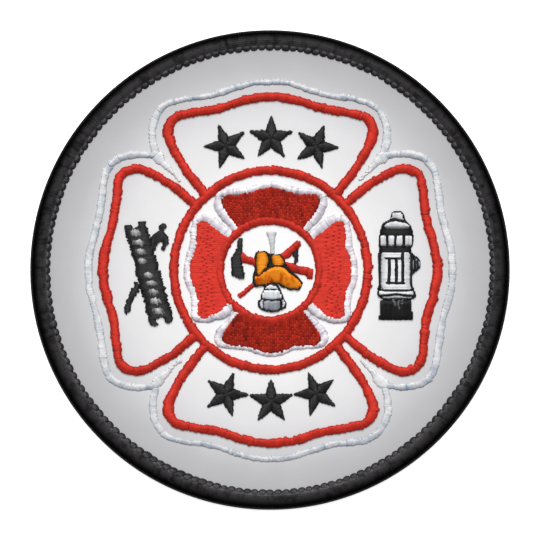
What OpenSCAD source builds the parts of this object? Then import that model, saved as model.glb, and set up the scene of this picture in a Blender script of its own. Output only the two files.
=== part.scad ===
// Round embroidered shoulder patch: a fabric disc with a merrowed edge, and a stitched cross, rings and pictures.
// It lies face up: the back plane is z = 0, the face looks along +Z and the top of the picture along +Y.

/* [Patch] */
// Diameter over the merrowed border
patch_d = 101.6; // [63.5:0.1:127]
// Thickness of the fabric disc
ground_t = 1.1; // [1:0.1:1.6]
// Height of the disc's back above the plane that the border rests on
ground_z = 0.5; // [0.3:0.1:0.8]

/* [Border] */
// Width of the merrowed border, seen from above
border_w = 4.1; // [3:0.1:5]
// Thickness of the merrowed border
border_t = 2.4; // [2.3:0.1:3.2]
// Radius of the border's rolled corners
border_roll = 0.9; // [0.5:0.1:1.1]
// How far the disc reaches under the border
border_grip = 2.8; // [1:0.1:2.9]

/* [Stitching] */
// Height of the red satin columns
red_h = 0.5; // [0.3:0.05:1]
// Height of the white satin outline
outline_h = 0.4; // [0.3:0.05:0.8]
// Height of the white edges of the inner cross
edge_h = 0.45; // [0.3:0.05:0.8]
// Height of the flat fill stitching
fill_h = 0.35; // [0.3:0.05:0.8]
// Height of the pictures and the stars
picture_h = 0.4; // [0.3:0.05:0.8]
// Clearance between neighbouring pieces
gap = 0.06; // [0.03:0.01:0.1]

/* [Rings] */
// Half width of the large red ring, to its middle line
ring_rx = 20.6; // [20.2:0.05:20.7]
// Half height of the large red ring, to its middle line
ring_ry = 21.15; // [20.9:0.05:21.2]
// Width of the large red ring's column
ring_w = 1.86; // [1.2:0.02:1.9]
// Radius of the middle line of the ring round the centre picture
hub_r = 10.64; // [10.5:0.01:10.7]
// Width of the column round the centre picture
hub_w = 1.8; // [1.2:0.02:1.86]

/* [Stars] */
// Diameter through the points of a star
star_d = 9.8; // [4:0.1:10]
// Radius that the stars are set out on
star_r = 28; // [27.5:0.1:28.4]
// Angle between neighbouring stars
star_step = 20; // [20:0.5:21]

/* [Hidden] */
// The tables below are drawn for this diameter, in millimetres, and the whole patch is scaled from it.
DRAWN_D = 101.6;
K = patch_d / DRAWN_D;
$fn = 96;

// Each arm is drawn pointing up, then shifted across and outwards, and turned about the centre.
// Columns: name, turn, 1 for a side arm's outlines, shift of the red column, of the white outline and of the inner
// cross
ARMS = [
    ["top", 0, 0, [0.1, 0], [-0.1, 0], [0.15, 0]],
    ["left", 90, 1, [0, 0], [-0.25, -0.3], [-0.15, -0.1]],
    ["bottom", 180, 0, [-0.15, 0], [-0.05, 0.2], [-0.3, 0]],
    ["right", 270, 1, [0, 0], [0.05, -0.1], [0.2, 0.3]]
];
// Columns: name, turn about the centre
NOTCHES = [["nw", 45], ["sw", 135], ["se", 225], ["ne", 315]];
// Columns: name, middle of the row of stars, turn of a star against its place
STAR_ROWS = [["top", 89.5, 0], ["bottom", 270.5, 180]];
STAR_COUNT = 3;
STAR_POINTS = 5;
// Radius of the inner corners of a star against that of its points
STAR_WAIST = 0.42;

// Half of a red column, from the ring to the crest of the arm. Columns: across, outwards, width
RED_TALL = [
    [14.5, 16.9, 1.9], [17.6, 20.8, 1.9], [20.6, 25.8, 1.9], [21.8, 29.7, 2.3],
    [20.1, 32.5, 1.9], [16.1, 33.5, 1.8], [10.8, 34.4, 1.8], [6.3, 35.9, 1.8], [2.2, 36.7, 1.8],
    [0, 36.8, 1.8]
];
RED_WIDE = [
    [14.6, 16.8, 1.9], [18.0, 20.8, 1.8], [20.9, 25.9, 1.8], [21.5, 28.9, 1.9],
    [20.0, 31.8, 1.9], [15.8, 32.6, 1.9], [10.4, 33.3, 1.9], [6.0, 34.6, 2.0], [2.2, 35.4, 2.1],
    [0, 35.5, 2.1]
];
// Half of a white outline, from the notch to the crest of the arm. Columns: across, outwards, width
WHITE_TALL = [
    [24.4, 25.4, 1.5], [24.95, 28.2, 1.7], [24.55, 31.7, 1.6], [22.3, 34.9, 1.4],
    [18.2, 36.3, 1.2], [13.2, 36.9, 1.2], [8.7, 38.3, 1.3], [4.6, 39.55, 1.2], [1.6, 39.95, 1.2],
    [0, 40.0, 1.2]
];
WHITE_WIDE = [
    [24.45, 25.4, 1.3], [24.8, 28.7, 1.5], [23.75, 32.8, 1.6], [21.0, 35.1, 1.6],
    [16.9, 35.9, 1.7], [12.4, 36.5, 1.7], [8.2, 37.5, 1.6], [4.4, 38.5, 1.6], [1.4, 38.85, 1.6],
    [0, 38.9, 1.6]
];
// The tapered spur in a notch. Columns: across, outwards, width
SPUR = [[0, 27.2, 0.5], [0, 28.3, 0.4], [0, 29.6, 0.7], [0, 31.3, 1.3], [0, 32.9, 2.1], [0, 34.0, 2.6]];
// Half of a panel of the inner cross, from the crest to the hub. Columns: across, outwards
PANEL_TALL = [[0, 17.2], [2.9, 16.75], [5.1, 15.9], [9.6, 15.55], [10.3, 14.6], [8.6, 11.8], [6.3, 9.0]];
PANEL_WIDE = [
    [0, 16.9], [2.3, 16.7], [5.4, 15.7], [9.6, 15.6], [10.4, 14.8], [10.3, 13.8], [9.5, 12.6], [6.3, 8.6]
];
// Halves of the white edges of the panels, from the hub to the crest: those of the top and the bottom panel, and the
// upper and the lower one of a side panel. Columns: across, outwards, width
EDGE_TOP = [
    [7.63, 9.1, 1.7], [9.5, 11.2, 2.1], [11.0, 13.45, 1.9], [11.25, 15.05, 1.5],
    [10.1, 16.3, 1.5], [5.3, 16.75, 1.5], [3.0, 17.5, 1.5], [0, 18.1, 1.6]
];
EDGE_BOTTOM = [
    [7.45, 9.2, 1.3], [9.3, 11.35, 1.6], [11.0, 13.45, 1.9], [11.2, 14.9, 1.6],
    [10.0, 16.0, 1.1], [5.3, 16.5, 1.0], [3.0, 17.3, 1.0], [0, 17.9, 1.0]
];
EDGE_UPPER = [
    [7.83, 9.05, 1.9], [9.15, 10.75, 2.2], [10.5, 12.55, 2.1], [11.2, 14.0, 1.7], [10.9, 15.6, 1.4],
    [9.4, 16.2, 1.4], [5.2, 16.5, 1.5], [2.6, 17.4, 1.5], [0, 17.65, 1.5]
];
EDGE_LOWER = [
    [7.77, 8.75, 2.0], [9.1, 10.1, 2.1], [9.85, 11.55, 1.4], [10.45, 13.0, 1.1], [10.45, 14.6, 1.0],
    [10.1, 15.8, 1.2], [9.0, 16.15, 1.4], [5.6, 16.2, 1.5], [2.6, 17.3, 1.5], [0, 17.65, 1.5]
];

// Outlines of the centre picture, round each shape against the clock. Columns: x, y
CROWN_REAR = [
    [-2.7, -0.6], [-2.3, -0.9], [-1.6, -0.2], [-0.8, 0.6], [-0.4, 1.4], [-0.35, 2.3],
    [-0.6, 3.2], [-1.1, 3.7], [-2.4, 3.65], [-2.85, 3.2], [-2.9, 1.0]
];
CROWN_FRONT = [[0.65, 1.2], [2.8, 1.15], [3.0, 1.5], [2.7, 2.3], [2.1, 3.0], [0.35, 3.0], [0.4, 2.0]];
BRIM = [
    [-2.8, -3.1], [-1.1, -3.0], [0.3, -2.7], [1.9, -2.7], [3.1, -3.4], [4.2, -3.9], [5.8, -3.9], [6.4, -3.4],
    [6.5, -2.7], [5.5, -1.6], [4.0, -0.6], [3.3, 0.2], [2.4, 0.75], [1.0, 0.7], [0, 0.3], [-1.2, -0.5],
    [-2.3, -1.45], [-3.05, -1.35], [-3.1, -2.6]
];
HELMET = [
    [-3.3, -3.6], [-1.1, -3.4], [-0.9, -3.0], [1.9, -3.0], [2.4, -3.6], [3.5, -3.8], [3.9, -4.15], [5.8, -4.2],
    [6.4, -4.0], [6.9, -2.7], [5.8, -1.3], [4.6, -0.3], [3.8, 0.5], [3.35, 1.4], [3.0, 2.4], [2.3, 3.3],
    [0.3, 3.3], [-0.4, 3.6], [-1.0, 4.0], [-2.5, 3.95], [-3.0, 3.6], [-3.3, 2.6], [-3.2, 0], [-3.6, -1.1],
    [-3.7, -2.8]
];
AXE_HEAD = [
    [-8.3, -1.0], [-6.6, -1.65], [-5.7, -1.85], [-5.3, -1.5], [-5.7, -0.3], [-6.0, 1.5], [-6.15, 3.0],
    [-6.1, 4.2], [-5.85, 5.6], [-6.2, 6.8], [-6.6, 6.6], [-6.8, 5.4], [-6.9, 4.6], [-7.3, 3.8], [-7.9, 2.9],
    [-8.25, 2.0]
];
HANDLE_INNER = [
    [-6.1, 1.6], [-4.8, 1.55], [-3.2, 1.0], [-3.2, 2.2], [-3.9, 2.6], [-4.8, 2.8], [-5.4, 3.3],
    [-5.9, 3.9], [-6.2, 3.6]
];
HANDLE_OUTER = [
    [4.6, -0.35], [6.0, -0.7], [7.6, -1.0], [8.2, -1.9], [8.9, -1.9], [9.0, -0.8], [9.0, 0.1], [8.0, 0.5],
    [6.2, 0.65], [5.2, 1.3], [3.2, 1.6], [3.6, 0.5]
];
POLE_UPPER = [
    [3.1, 2.4], [4.2, 2.8], [4.9, 3.7], [6.2, 4.8], [6.5, 5.4], [6.2, 6.0], [5.6, 6.2], [4.6, 5.2],
    [3.5, 4.4], [2.2, 3.1]
];
POLE_LOWER = [
    [-3.4, -3.5], [-3.6, -2.8], [-4.6, -3.5], [-5.7, -4.5], [-6.7, -5.1], [-6.6, -5.6], [-6.1, -5.8],
    [-5.4, -5.2], [-4.4, -4.3]
];
PIKE_HOOK = [
    [5.2, 1.4], [5.6, 1.4], [5.95, 2.0], [6.0, 3.9], [5.8, 4.5], [4.8, 3.4], [4.8, 2.9], [5.3, 2.9], [5.4, 2.2]
];
HORN_STEM = [
    [0.15, 3.6], [0.85, 3.6], [0.9, 5.0], [1.0, 7.0], [1.4, 7.9], [-0.75, 7.9], [-0.3, 7.0], [0.05, 5.0]
];
HORN_NECK = [[-0.9, -4.0], [1.5, -4.0], [1.35, -3.6], [0.9, -3.3], [-0.1, -3.3], [-0.6, -3.5]];
HORN_WAIST = [
    [-1.6, -5.8], [-0.8, -6.1], [0.4, -6.25], [1.6, -6.1], [2.4, -5.8], [2.1, -5.0], [1.7, -4.3],
    [-1.1, -4.3], [-1.5, -5.1]
];
HORN_BELL = [
    [-1.0, -8.3], [0.4, -8.6], [1.6, -8.5], [2.0, -8.1], [2.0, -6.5], [0.4, -6.65], [-1.0, -6.5], [-1.2, -7.4]
];
HORN = [
    [-1.8, -8.4], [-0.6, -8.8], [0.4, -8.95], [1.5, -8.9], [2.4, -8.4], [3.4, -7.9], [3.5, -7.1], [3.0, -6.2],
    [2.6, -5.2], [2.2, -4.2], [2.0, -3.7], [1.6, -3.1], [-0.6, -3.1], [-1.2, -3.6], [-1.3, -4.2], [-1.9, -5.4],
    [-1.9, -6.2], [-2.6, -6.6], [-2.5, -7.8]
];

// Outlines of the left arm's picture. Columns: x, y
LADDER = [
    [-25.4, -11.6], [-24.6, -11.9], [-23.8, -11.6], [-24.3, -11.0], [-24.0, -10.3], [-23.0, -9.9], [-22.4, -10.2],
    [-22.2, -11.0], [-21.6, -11.2], [-20.6, -10.6], [-21.6, -7.0], [-22.6, -3.5], [-23.4, -0.6], [-24.2, 2.2],
    [-25.1, 5.4], [-26.0, 8.4], [-26.6, 10.2], [-27.9, 10.1], [-28.1, 9.0], [-29.4, 8.8], [-29.6, 9.7],
    [-30.9, 9.4], [-30.8, 7.2], [-29.9, 4.4], [-28.9, 1.6], [-28.5, -1.4], [-27.7, -3.9], [-26.9, -6.4],
    [-26.4, -8.8]
];
HOOK_POLE_LOWER = [
    [-28.5, -2.4], [-29.1, -4.3], [-30.0, -6.1], [-30.7, -7.4], [-31.0, -8.7], [-30.5, -9.3], [-29.9, -8.9],
    [-29.4, -7.3], [-28.7, -5.6], [-28.0, -4.5], [-27.3, -3.7]
];
HOOK_POLE_UPPER = [
    [-24.9, 3.5], [-24.3, 4.7], [-23.9, 5.6], [-23.3, 6.0], [-22.8, 5.8], [-22.7, 5.2], [-23.05, 4.6],
    [-22.9, 4.1], [-22.4, 4.2], [-22.2, 5.0], [-21.5, 5.8], [-21.6, 7.0], [-22.5, 8.0], [-22.5, 8.6], [-21.9, 9.3], [-22.9, 10.0],
    [-23.5, 9.4], [-23.6, 8.3], [-24.6, 7.6], [-25.3, 6.9], [-25.8, 7.0]
];

// Outlines of the right arm's picture. Columns: x, y
HYDRANT_CAP = [
    [25.9, 11.0], [27.0, 11.0], [28.2, 10.7], [28.1, 11.4], [27.7, 12.1], [26.3, 12.1], [26.0, 11.7]
];
HYDRANT_BONNET = [
    [24.4, 9.1], [27.0, 9.1], [29.5, 9.1], [29.4, 9.5], [28.7, 9.9], [26.7, 10.4], [25.6, 10.2], [24.6, 9.7]
];
HYDRANT_COLLAR = [[23.6, 5.2], [30.0, 5.2], [30.0, 7.3], [23.6, 7.3]];
HYDRANT_BARREL = [[23.7, -4.0], [30.1, -4.0], [29.8, -3.0], [29.8, 3.5], [23.6, 3.5], [23.5, 0], [23.5, -3.0]];
HYDRANT_NOZZLE = [[30.5, -0.1], [31.2, 0.3], [31.6, 0.7], [31.6, 1.8], [31.2, 2.4], [30.6, 2.7], [30.5, 2.0]];
HYDRANT_FLANGE = [[24.1, -5.95], [29.9, -5.95], [30.4, -5.2], [30.3, -4.5], [23.2, -4.5], [23.2, -5.2]];
HYDRANT_BASE = [
    [23.3, -10.4], [24.0, -10.65], [30.1, -10.6], [30.0, -6.5], [29.5, -6.32], [23.9, -6.32], [23.6, -6.6],
    [23.4, -8.9]
];
HYDRANT = [
    [23.9, -6.25], [30.2, -6.25], [31.0, -5.6], [30.8, -4.4], [30.2, -3.4], [30.1, -1.0], [31.2, -0.1],
    [31.9, 0.5], [31.9, 1.8], [31.4, 2.7], [30.6, 3.1], [30.2, 3.6], [30.1, 4.5], [30.4, 6.0], [30.5, 8.3],
    [30.0, 9.2], [29.2, 10.1], [28.7, 10.7], [28.4, 11.8], [27.9, 12.4], [26.5, 12.5], [25.9, 12.1],
    [25.6, 10.8], [24.0, 9.9], [23.3, 8.4], [23.2, 6.0], [23.0, 3.0], [23.2, -3.2], [22.8, -4.2], [22.9, -5.2]
];

patch_r = DRAWN_D / 2;
border_inner_r = patch_r - border_w;
ground_r = border_inner_r + border_grip;
ground_top = ground_z + ground_t;
stitch_z = ground_top + gap;
RING_CENTRE = [0.14, 0];
HUB_CENTRE = [-0.05, -0.05];
RING_STEPS = 72;
hub_outer_r = hub_r + hub_w / 2;
// How far a cut starts outside what it cuts
CUT = 1;
// Steps that each span of a half outline is divided into
CURVE_STEPS = 2;

RED = "#d2382e";
DEEP_RED = "#a82c20";
WHITE = "#eceef2";
PALE_GREY = "#c9cbd2";
BLACK = "#343233";
ORANGE = "#ee9425";
CLOTH = "#dcdcdd";

// Curves and outlines

// One point of a smooth curve through rows of numbers, at t from 0 to 1 between row i and the next
function curve_point(rows, i, t) =
    let (
        before = rows[max(i - 1, 0)],
        start = rows[i],
        end = rows[i + 1],
        after = rows[min(i + 2, len(rows) - 1)]
    )
    0.5 * (
        2 * start
        + (end - before) * t
        + (2 * before - 5 * start + 4 * end - after) * t * t
        + (3 * start - before - 3 * end + after) * t * t * t
    );

// The rows of a smooth curve through a table
function curve(rows, steps) = concat(
    [for (i = [0:len(rows) - 2], s = [0:steps - 1]) curve_point(rows, i, s / steps)],
    [rows[len(rows) - 1]]
);

// A whole outline, from tables of its left and right halves that end on the middle line
function both_halves(left, right) = concat(
    [for (row = left) [-row[0], row[1], row[2]]],
    [for (i = [len(right) - 2:-1:0]) right[i]]
);

// Unit vector along the rows at row i
function heading(rows, i) =
    let (
        ahead = rows[min(i + 1, len(rows) - 1)],
        behind = rows[max(i - 1, 0)],
        d = [ahead[0] - behind[0], ahead[1] - behind[1]]
    )
    d / norm(d);

// Cross-section of a satin column: flat below, domed above. Columns: across, up
function dome(width, height) = [
    [-0.5 * width, 0], [0.5 * width, 0], [0.5 * width, 0.35 * height], [0.3 * width, 0.85 * height],
    [0, height], [-0.3 * width, 0.85 * height], [-0.5 * width, 0.35 * height]
];

// Points of a column's cross-section at row i of its path
function section_at(rows, i, height) =
    let (h = heading(rows, i))
    [for (p = dome(rows[i][2], height)) [rows[i][0] + h[1] * p[0], rows[i][1] - h[0] * p[0], p[1]]];

// A polygon moved outwards by d along every side, for points against the clock
function grown(points, d) =
    let (n = len(points))
    [for (i = [0:n - 1])
        let (
            a = points[(i + n - 1) % n],
            b = points[i],
            c = points[(i + 1) % n],
            u = (b - a) / norm(b - a),
            v = (c - b) / norm(c - b),
            out = [u[1] + v[1], -u[0] - v[0]]
        )
        b + out * d / (1 + u * v)];

// The triangles between the cross-sections i and k of n points each
function skin(i, k, n) = [for (j = [0:n - 1])
    let (a = i * n + (j + 1) % n, b = i * n + j, c = k * n + j, d = k * n + (j + 1) % n)
    each [[c, b, a], [d, c, a]]];

// A satin column along rows of across, outwards and width
module column(rows, height) {
    n = len(dome(1, 1));
    last = (len(rows) - 1) * n;
    points = [for (i = [0:len(rows) - 1], p = section_at(rows, i, height)) p];
    start_cap = [for (j = [1:n - 2]) [0, j + 1, j]];
    end_cap = [for (j = [1:n - 2]) [last, last + j, last + j + 1]];
    sides = [for (i = [0:len(rows) - 2], face = skin(i, i + 1, n)) face];
    polyhedron(points, concat(start_cap, end_cap, sides));
}

// A satin column round an ellipse
module oval_column(rx, ry, width, height) {
    n = len(dome(1, 1));
    points = [for (i = [0:RING_STEPS - 1])
        let (
            turn = 360 * i / RING_STEPS,
            out = [ry * cos(turn), rx * sin(turn)] / norm([ry * cos(turn), rx * sin(turn)])
        )
        for (p = dome(width, height)) [rx * cos(turn) + out[0] * p[0], ry * sin(turn) + out[1] * p[0], p[1]]];
    polyhedron(points, [for (i = [0:RING_STEPS - 1], face = skin(i, (i + 1) % RING_STEPS, n)) face]);
}

// A flat strip along rows of across, outwards and width
module strip(rows) {
    left = [for (i = [0:len(rows) - 1])
        [rows[i][0], rows[i][1]] + [-heading(rows, i)[1], heading(rows, i)[0]] * rows[i][2] / 2];
    right = [for (i = [len(rows) - 1:-1:0])
        [rows[i][0], rows[i][1]] + [heading(rows, i)[1], -heading(rows, i)[0]] * rows[i][2] / 2];
    polygon(concat(left, right));
}

// Scales the patch from the size that its tables are drawn for
module drawn() {
    scale(K) children();
}

// Puts stitching on the disc's face
module stitched() {
    drawn() translate([0, 0, stitch_z]) children();
}

// A flat stitched shape with clearance round the shapes that lie in or over it
module patchwork(outline, over) {
    stitched() linear_extrude(picture_h) difference() {
        polygon(outline);
        for (shape = over) polygon(grown(shape, gap));
    }
}

// Shifts an arm's piece by across and outwards, and turns it to its place
module placed(arm, shift) {
    rotate([0, 0, arm[1]]) translate([shift[0], shift[1], 0]) children();
}

function red_half(arm) = arm[2] == 0 ? RED_TALL : RED_WIDE;
function white_half(arm) = arm[2] == 0 ? WHITE_TALL : WHITE_WIDE;
function panel_half(arm) = arm[2] == 0 ? PANEL_TALL : PANEL_WIDE;
function smooth(left, right) = curve(both_halves(left, right), CURVE_STEPS);
function edge_rows(arm) =
    arm[0] == "top" ? smooth(EDGE_TOP, EDGE_TOP)
    : arm[0] == "left" ? smooth(EDGE_LOWER, EDGE_UPPER)
    : arm[0] == "bottom" ? smooth(EDGE_BOTTOM, EDGE_BOTTOM)
    : smooth(EDGE_UPPER, EDGE_LOWER);

// Fabric and border

module ground() {
    color(CLOTH) drawn() translate([0, 0, ground_z]) cylinder(h = ground_t, r = ground_r);
}

// The border's cross-section: a rolled edge with a groove that the disc sits in
module border_section() {
    difference() {
        union() {
            translate([border_inner_r + border_roll, 0]) square([border_w - 2 * border_roll, border_t]);
            translate([border_inner_r, border_roll]) square([border_w, border_t - 2 * border_roll]);
            for (
                x = [border_inner_r + border_roll, patch_r - border_roll],
                y = [border_roll, border_t - border_roll]
            )
                translate([x, y]) circle(r = border_roll);
        }
        translate([border_inner_r - CUT, ground_z - gap])
            square([border_grip + CUT + gap, ground_t + 2 * gap]);
    }
}

module merrowed_border() {
    color(BLACK) drawn() rotate_extrude() border_section();
}

// Rings and arms

module red_ring() {
    color(RED) stitched() translate([RING_CENTRE[0], RING_CENTRE[1], 0])
        oval_column(ring_rx, ring_ry, ring_w, red_h);
}

module hub_ring() {
    color(RED) stitched() translate([HUB_CENTRE[0], HUB_CENTRE[1], 0]) rotate_extrude()
        translate([hub_r, 0]) polygon(dome(hub_w, red_h));
}

module red_arm(arm) {
    color(RED) stitched() placed(arm, arm[3]) column(smooth(red_half(arm), red_half(arm)), red_h);
}

module white_outline(arm) {
    color(WHITE) stitched() placed(arm, arm[4]) column(smooth(white_half(arm), white_half(arm)), outline_h);
}

module white_notch(notch) {
    color(WHITE) stitched() rotate([0, 0, notch[1]]) column(SPUR, outline_h);
}

// Inner cross

module red_panel(arm) {
    half = panel_half(arm);
    outline = concat(
        [for (i = [0:len(half) - 1]) [-half[i][0], half[i][1]]],
        [for (i = [len(half) - 1:-1:1]) half[i]]
    );
    color(DEEP_RED) stitched() linear_extrude(fill_h) difference() {
        placed(arm, arm[5]) polygon(outline);
        translate(HUB_CENTRE) circle(r = hub_outer_r + gap);
        placed(arm, arm[5]) strip([for (row = edge_rows(arm)) row + [0, 0, 2 * gap]]);
    }
}

module white_border(arm) {
    color(WHITE) stitched() placed(arm, arm[5]) column(edge_rows(arm), edge_h);
}

// Centre picture

module helmet_crown_rear() {
    color(ORANGE) patchwork(CROWN_REAR, []);
}

module helmet_crown_front() {
    color(ORANGE) patchwork(CROWN_FRONT, []);
}

module helmet_brim() {
    color(ORANGE) patchwork(BRIM, []);
}

module helmet_outline() {
    color(BLACK) patchwork(HELMET, [CROWN_REAR, CROWN_FRONT, BRIM]);
}

module axe_head() {
    color(BLACK) patchwork(AXE_HEAD, []);
}

module axe_handle_inner() {
    color(RED) patchwork(HANDLE_INNER, [AXE_HEAD, HELMET]);
}

module axe_handle_outer() {
    color(RED) patchwork(HANDLE_OUTER, [HELMET]);
}

module pike_pole_upper() {
    color(RED) patchwork(POLE_UPPER, [HELMET, PIKE_HOOK]);
}

module pike_pole_lower() {
    color(RED) patchwork(POLE_LOWER, [HELMET]);
}

module pike_hook() {
    color(BLACK) patchwork(PIKE_HOOK, [HANDLE_OUTER]);
}

module horn_stem() {
    color(PALE_GREY) patchwork(HORN_STEM, [HELMET]);
}

module horn_neck() {
    color(PALE_GREY) patchwork(HORN_NECK, []);
}

module horn_waist() {
    color(PALE_GREY) patchwork(HORN_WAIST, []);
}

module horn_bell() {
    color(PALE_GREY) patchwork(HORN_BELL, []);
}

module horn_outline() {
    color(BLACK) patchwork(HORN, [HORN_NECK, HORN_WAIST, HORN_BELL, HELMET]);
}

// Pictures in the side arms

module ladder() {
    color(BLACK) patchwork(LADDER, []);
}

module hook_pole_lower() {
    color(BLACK) patchwork(HOOK_POLE_LOWER, [LADDER]);
}

module hook_pole_upper() {
    color(BLACK) patchwork(HOOK_POLE_UPPER, [LADDER]);
}

module hydrant_cap() {
    color(WHITE) patchwork(HYDRANT_CAP, []);
}

module hydrant_bonnet() {
    color(WHITE) patchwork(HYDRANT_BONNET, []);
}

module hydrant_collar() {
    color(WHITE) patchwork(HYDRANT_COLLAR, []);
}

module hydrant_barrel() {
    color(WHITE) patchwork(HYDRANT_BARREL, []);
}

module hydrant_nozzle() {
    color(PALE_GREY) patchwork(HYDRANT_NOZZLE, []);
}

module hydrant_flange() {
    color(WHITE) patchwork(HYDRANT_FLANGE, []);
}

module hydrant_base() {
    color(BLACK) patchwork(HYDRANT_BASE, []);
}

module hydrant_outline() {
    color(BLACK) patchwork(
        HYDRANT,
        [HYDRANT_CAP, HYDRANT_BONNET, HYDRANT_COLLAR, HYDRANT_BARREL, HYDRANT_NOZZLE, HYDRANT_FLANGE]
    );
}

// Stars in the upper and lower arms

module star(row, i) {
    across = (i - (STAR_COUNT + 1) / 2) * star_step;
    outer = star_d / 2;
    inner = outer * STAR_WAIST;
    pitch = 180 / STAR_POINTS;
    points = [for (k = [0:2 * STAR_POINTS - 1])
        (k % 2 == 0 ? outer : inner) * [-sin(pitch * k), cos(pitch * k)]];
    turn = row[1] - across * cos(row[2]);
    place = star_r * [cos(turn), sin(turn), 0];
    color(BLACK) stitched() translate(place) rotate([0, 0, turn - 90 + row[2]])
        linear_extrude(picture_h) polygon(points);
}

ground();
merrowed_border();
red_ring();
hub_ring();
for (arm = ARMS) {
    white_outline(arm);
    red_arm(arm);
    red_panel(arm);
    white_border(arm);
}
for (notch = NOTCHES) {
    white_notch(notch);
}
helmet_crown_rear();
helmet_crown_front();
helmet_brim();
helmet_outline();
axe_head();
axe_handle_inner();
axe_handle_outer();
pike_pole_upper();
pike_pole_lower();
pike_hook();
horn_stem();
horn_neck();
horn_waist();
horn_bell();
horn_outline();
ladder();
hook_pole_lower();
hook_pole_upper();
hydrant_cap();
hydrant_bonnet();
hydrant_collar();
hydrant_barrel();
hydrant_nozzle();
hydrant_flange();
hydrant_base();
hydrant_outline();
for (row = STAR_ROWS, i = [1:STAR_COUNT]) {
    star(row, i);
}
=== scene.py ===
"""Looks of a round embroidered shoulder patch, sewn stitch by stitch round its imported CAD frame.

Lengths are millimetres in the frame of the CAD part, where the back plane is z = 0 and the face looks up.
"""

import logging
import math
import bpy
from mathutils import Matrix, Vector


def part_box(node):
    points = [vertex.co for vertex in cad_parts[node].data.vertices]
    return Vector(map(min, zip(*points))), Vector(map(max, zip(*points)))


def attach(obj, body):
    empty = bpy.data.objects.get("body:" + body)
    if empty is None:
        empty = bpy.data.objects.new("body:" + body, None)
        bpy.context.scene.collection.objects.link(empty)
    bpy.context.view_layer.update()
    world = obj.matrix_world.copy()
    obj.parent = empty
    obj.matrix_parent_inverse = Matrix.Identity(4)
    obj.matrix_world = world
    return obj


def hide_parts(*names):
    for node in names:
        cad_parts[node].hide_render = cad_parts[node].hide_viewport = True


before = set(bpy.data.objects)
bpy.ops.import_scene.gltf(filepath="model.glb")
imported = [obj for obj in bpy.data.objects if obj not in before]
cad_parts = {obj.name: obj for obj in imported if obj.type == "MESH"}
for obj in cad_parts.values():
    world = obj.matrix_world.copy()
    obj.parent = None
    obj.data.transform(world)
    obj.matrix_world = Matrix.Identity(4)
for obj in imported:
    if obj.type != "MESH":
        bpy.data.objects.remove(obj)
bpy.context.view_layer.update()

import zlib
from dataclasses import dataclass, field, replace
from enum import Enum
from functools import lru_cache

import bmesh
import bpy
import numpy as np
from mathutils import Matrix, Vector
from mathutils.bvhtree import BVHTree

LOG = logging.getLogger("patch")

MM = 0.001

# Heights of the cloth, and of the base that the stitches of the face stand on
CLOTH_BACK = 0.5
CLOTH_FACE = 1.6
STITCH_BASE = 1.66
# Heights of the needle holes, and how low a stitch and the bobbin thread hang on the back
FACE_HOLE = CLOTH_FACE - 0.14
BACK_HOLE = CLOTH_BACK + 0.1
BACK_STITCH = CLOTH_BACK - 0.28
BOBBIN_STITCH = CLOTH_BACK - 0.34
# How high each kind of stitching stands on its base
RED_HEIGHT = 0.5
OUTLINE_HEIGHT = 0.24
SPUR_HEIGHT = 0.2
EDGE_HEIGHT = 0.45
PANEL_HEIGHT = 0.43
PICTURE_HEIGHT = 0.4
OVER_HEIGHT = 0.5
# How much the height differs from stitch to stitch
UNEVEN = 0.015

# Embroidery thread, size 40, pressed nearly flat where it lies. It is drawn wider than it is, so that each
# thread overlaps its neighbours and shows.
THREAD_WIDTH = 0.7
THREAD_THICKNESS = 0.15
THREAD_PITCH = 0.4

# Short names of types
Node = bpy.types.Node
Tree = bpy.types.NodeTree
Settings = dict[str | int, object]
Links = dict[str | int, tuple[Node, str | int]]
Rows = list[tuple[float, ...]]
# Colours from the middle of the patch outwards. Columns: radius, colour
Rings = tuple[tuple[float, str], ...]


# Colours and shader nodes


def linear(code: str) -> tuple[float, float, float, float]:
    """Turns an sRGB hex colour to linear.

    Args:
        code: The colour, such as "c4382f".

    Returns:
        The linear red, green, blue and an alpha of one.
    """
    parts = [int(code[i : i + 2], 16) / 255 for i in (0, 2, 4)]
    red, green, blue = (p / 12.92 if p <= 0.04045 else ((p + 0.055) / 1.055) ** 2.4 for p in parts)
    return red, green, blue, 1.0


def add_node(tree: Tree, kind: str, settings: Settings | None = None, links: Links | None = None) -> Node:
    """Adds a shader node with its settings and its incoming links.

    Args:
        tree: The node tree.
        kind: The node's type, without the ShaderNode in front.
        settings: Values of its properties and inputs, by name or input number.
        links: For each linked input, the node and the output that feed it.

    Returns:
        The new node.
    """
    node = tree.nodes.new(f"ShaderNode{kind}")
    for key, value in (settings or {}).items():
        if isinstance(key, str) and hasattr(node, key):
            setattr(node, key, value)
        else:
            node.inputs[key].default_value = value
    for key, (source, output) in (links or {}).items():
        tree.links.new(source.outputs[output], node.inputs[key])
    return node


def new_material(name: str) -> tuple[bpy.types.Material, Tree]:
    """Makes an empty node material.

    Args:
        name: The material's name.

    Returns:
        The material and its node tree.
    """
    material = bpy.data.materials.new(name)
    material.use_nodes = True
    material.node_tree.nodes.clear()
    return material, material.node_tree


def end_tree(tree: Tree, settings: Settings, links: Links) -> None:
    """Ends a material's tree with its surface and the output.

    Args:
        tree: The node tree.
        settings: Values of the surface.
        links: The nodes that feed it.
    """
    surface = add_node(tree, "BsdfPrincipled", settings, links)
    add_node(tree, "OutputMaterial", links={"Surface": (surface, 0)})


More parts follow.
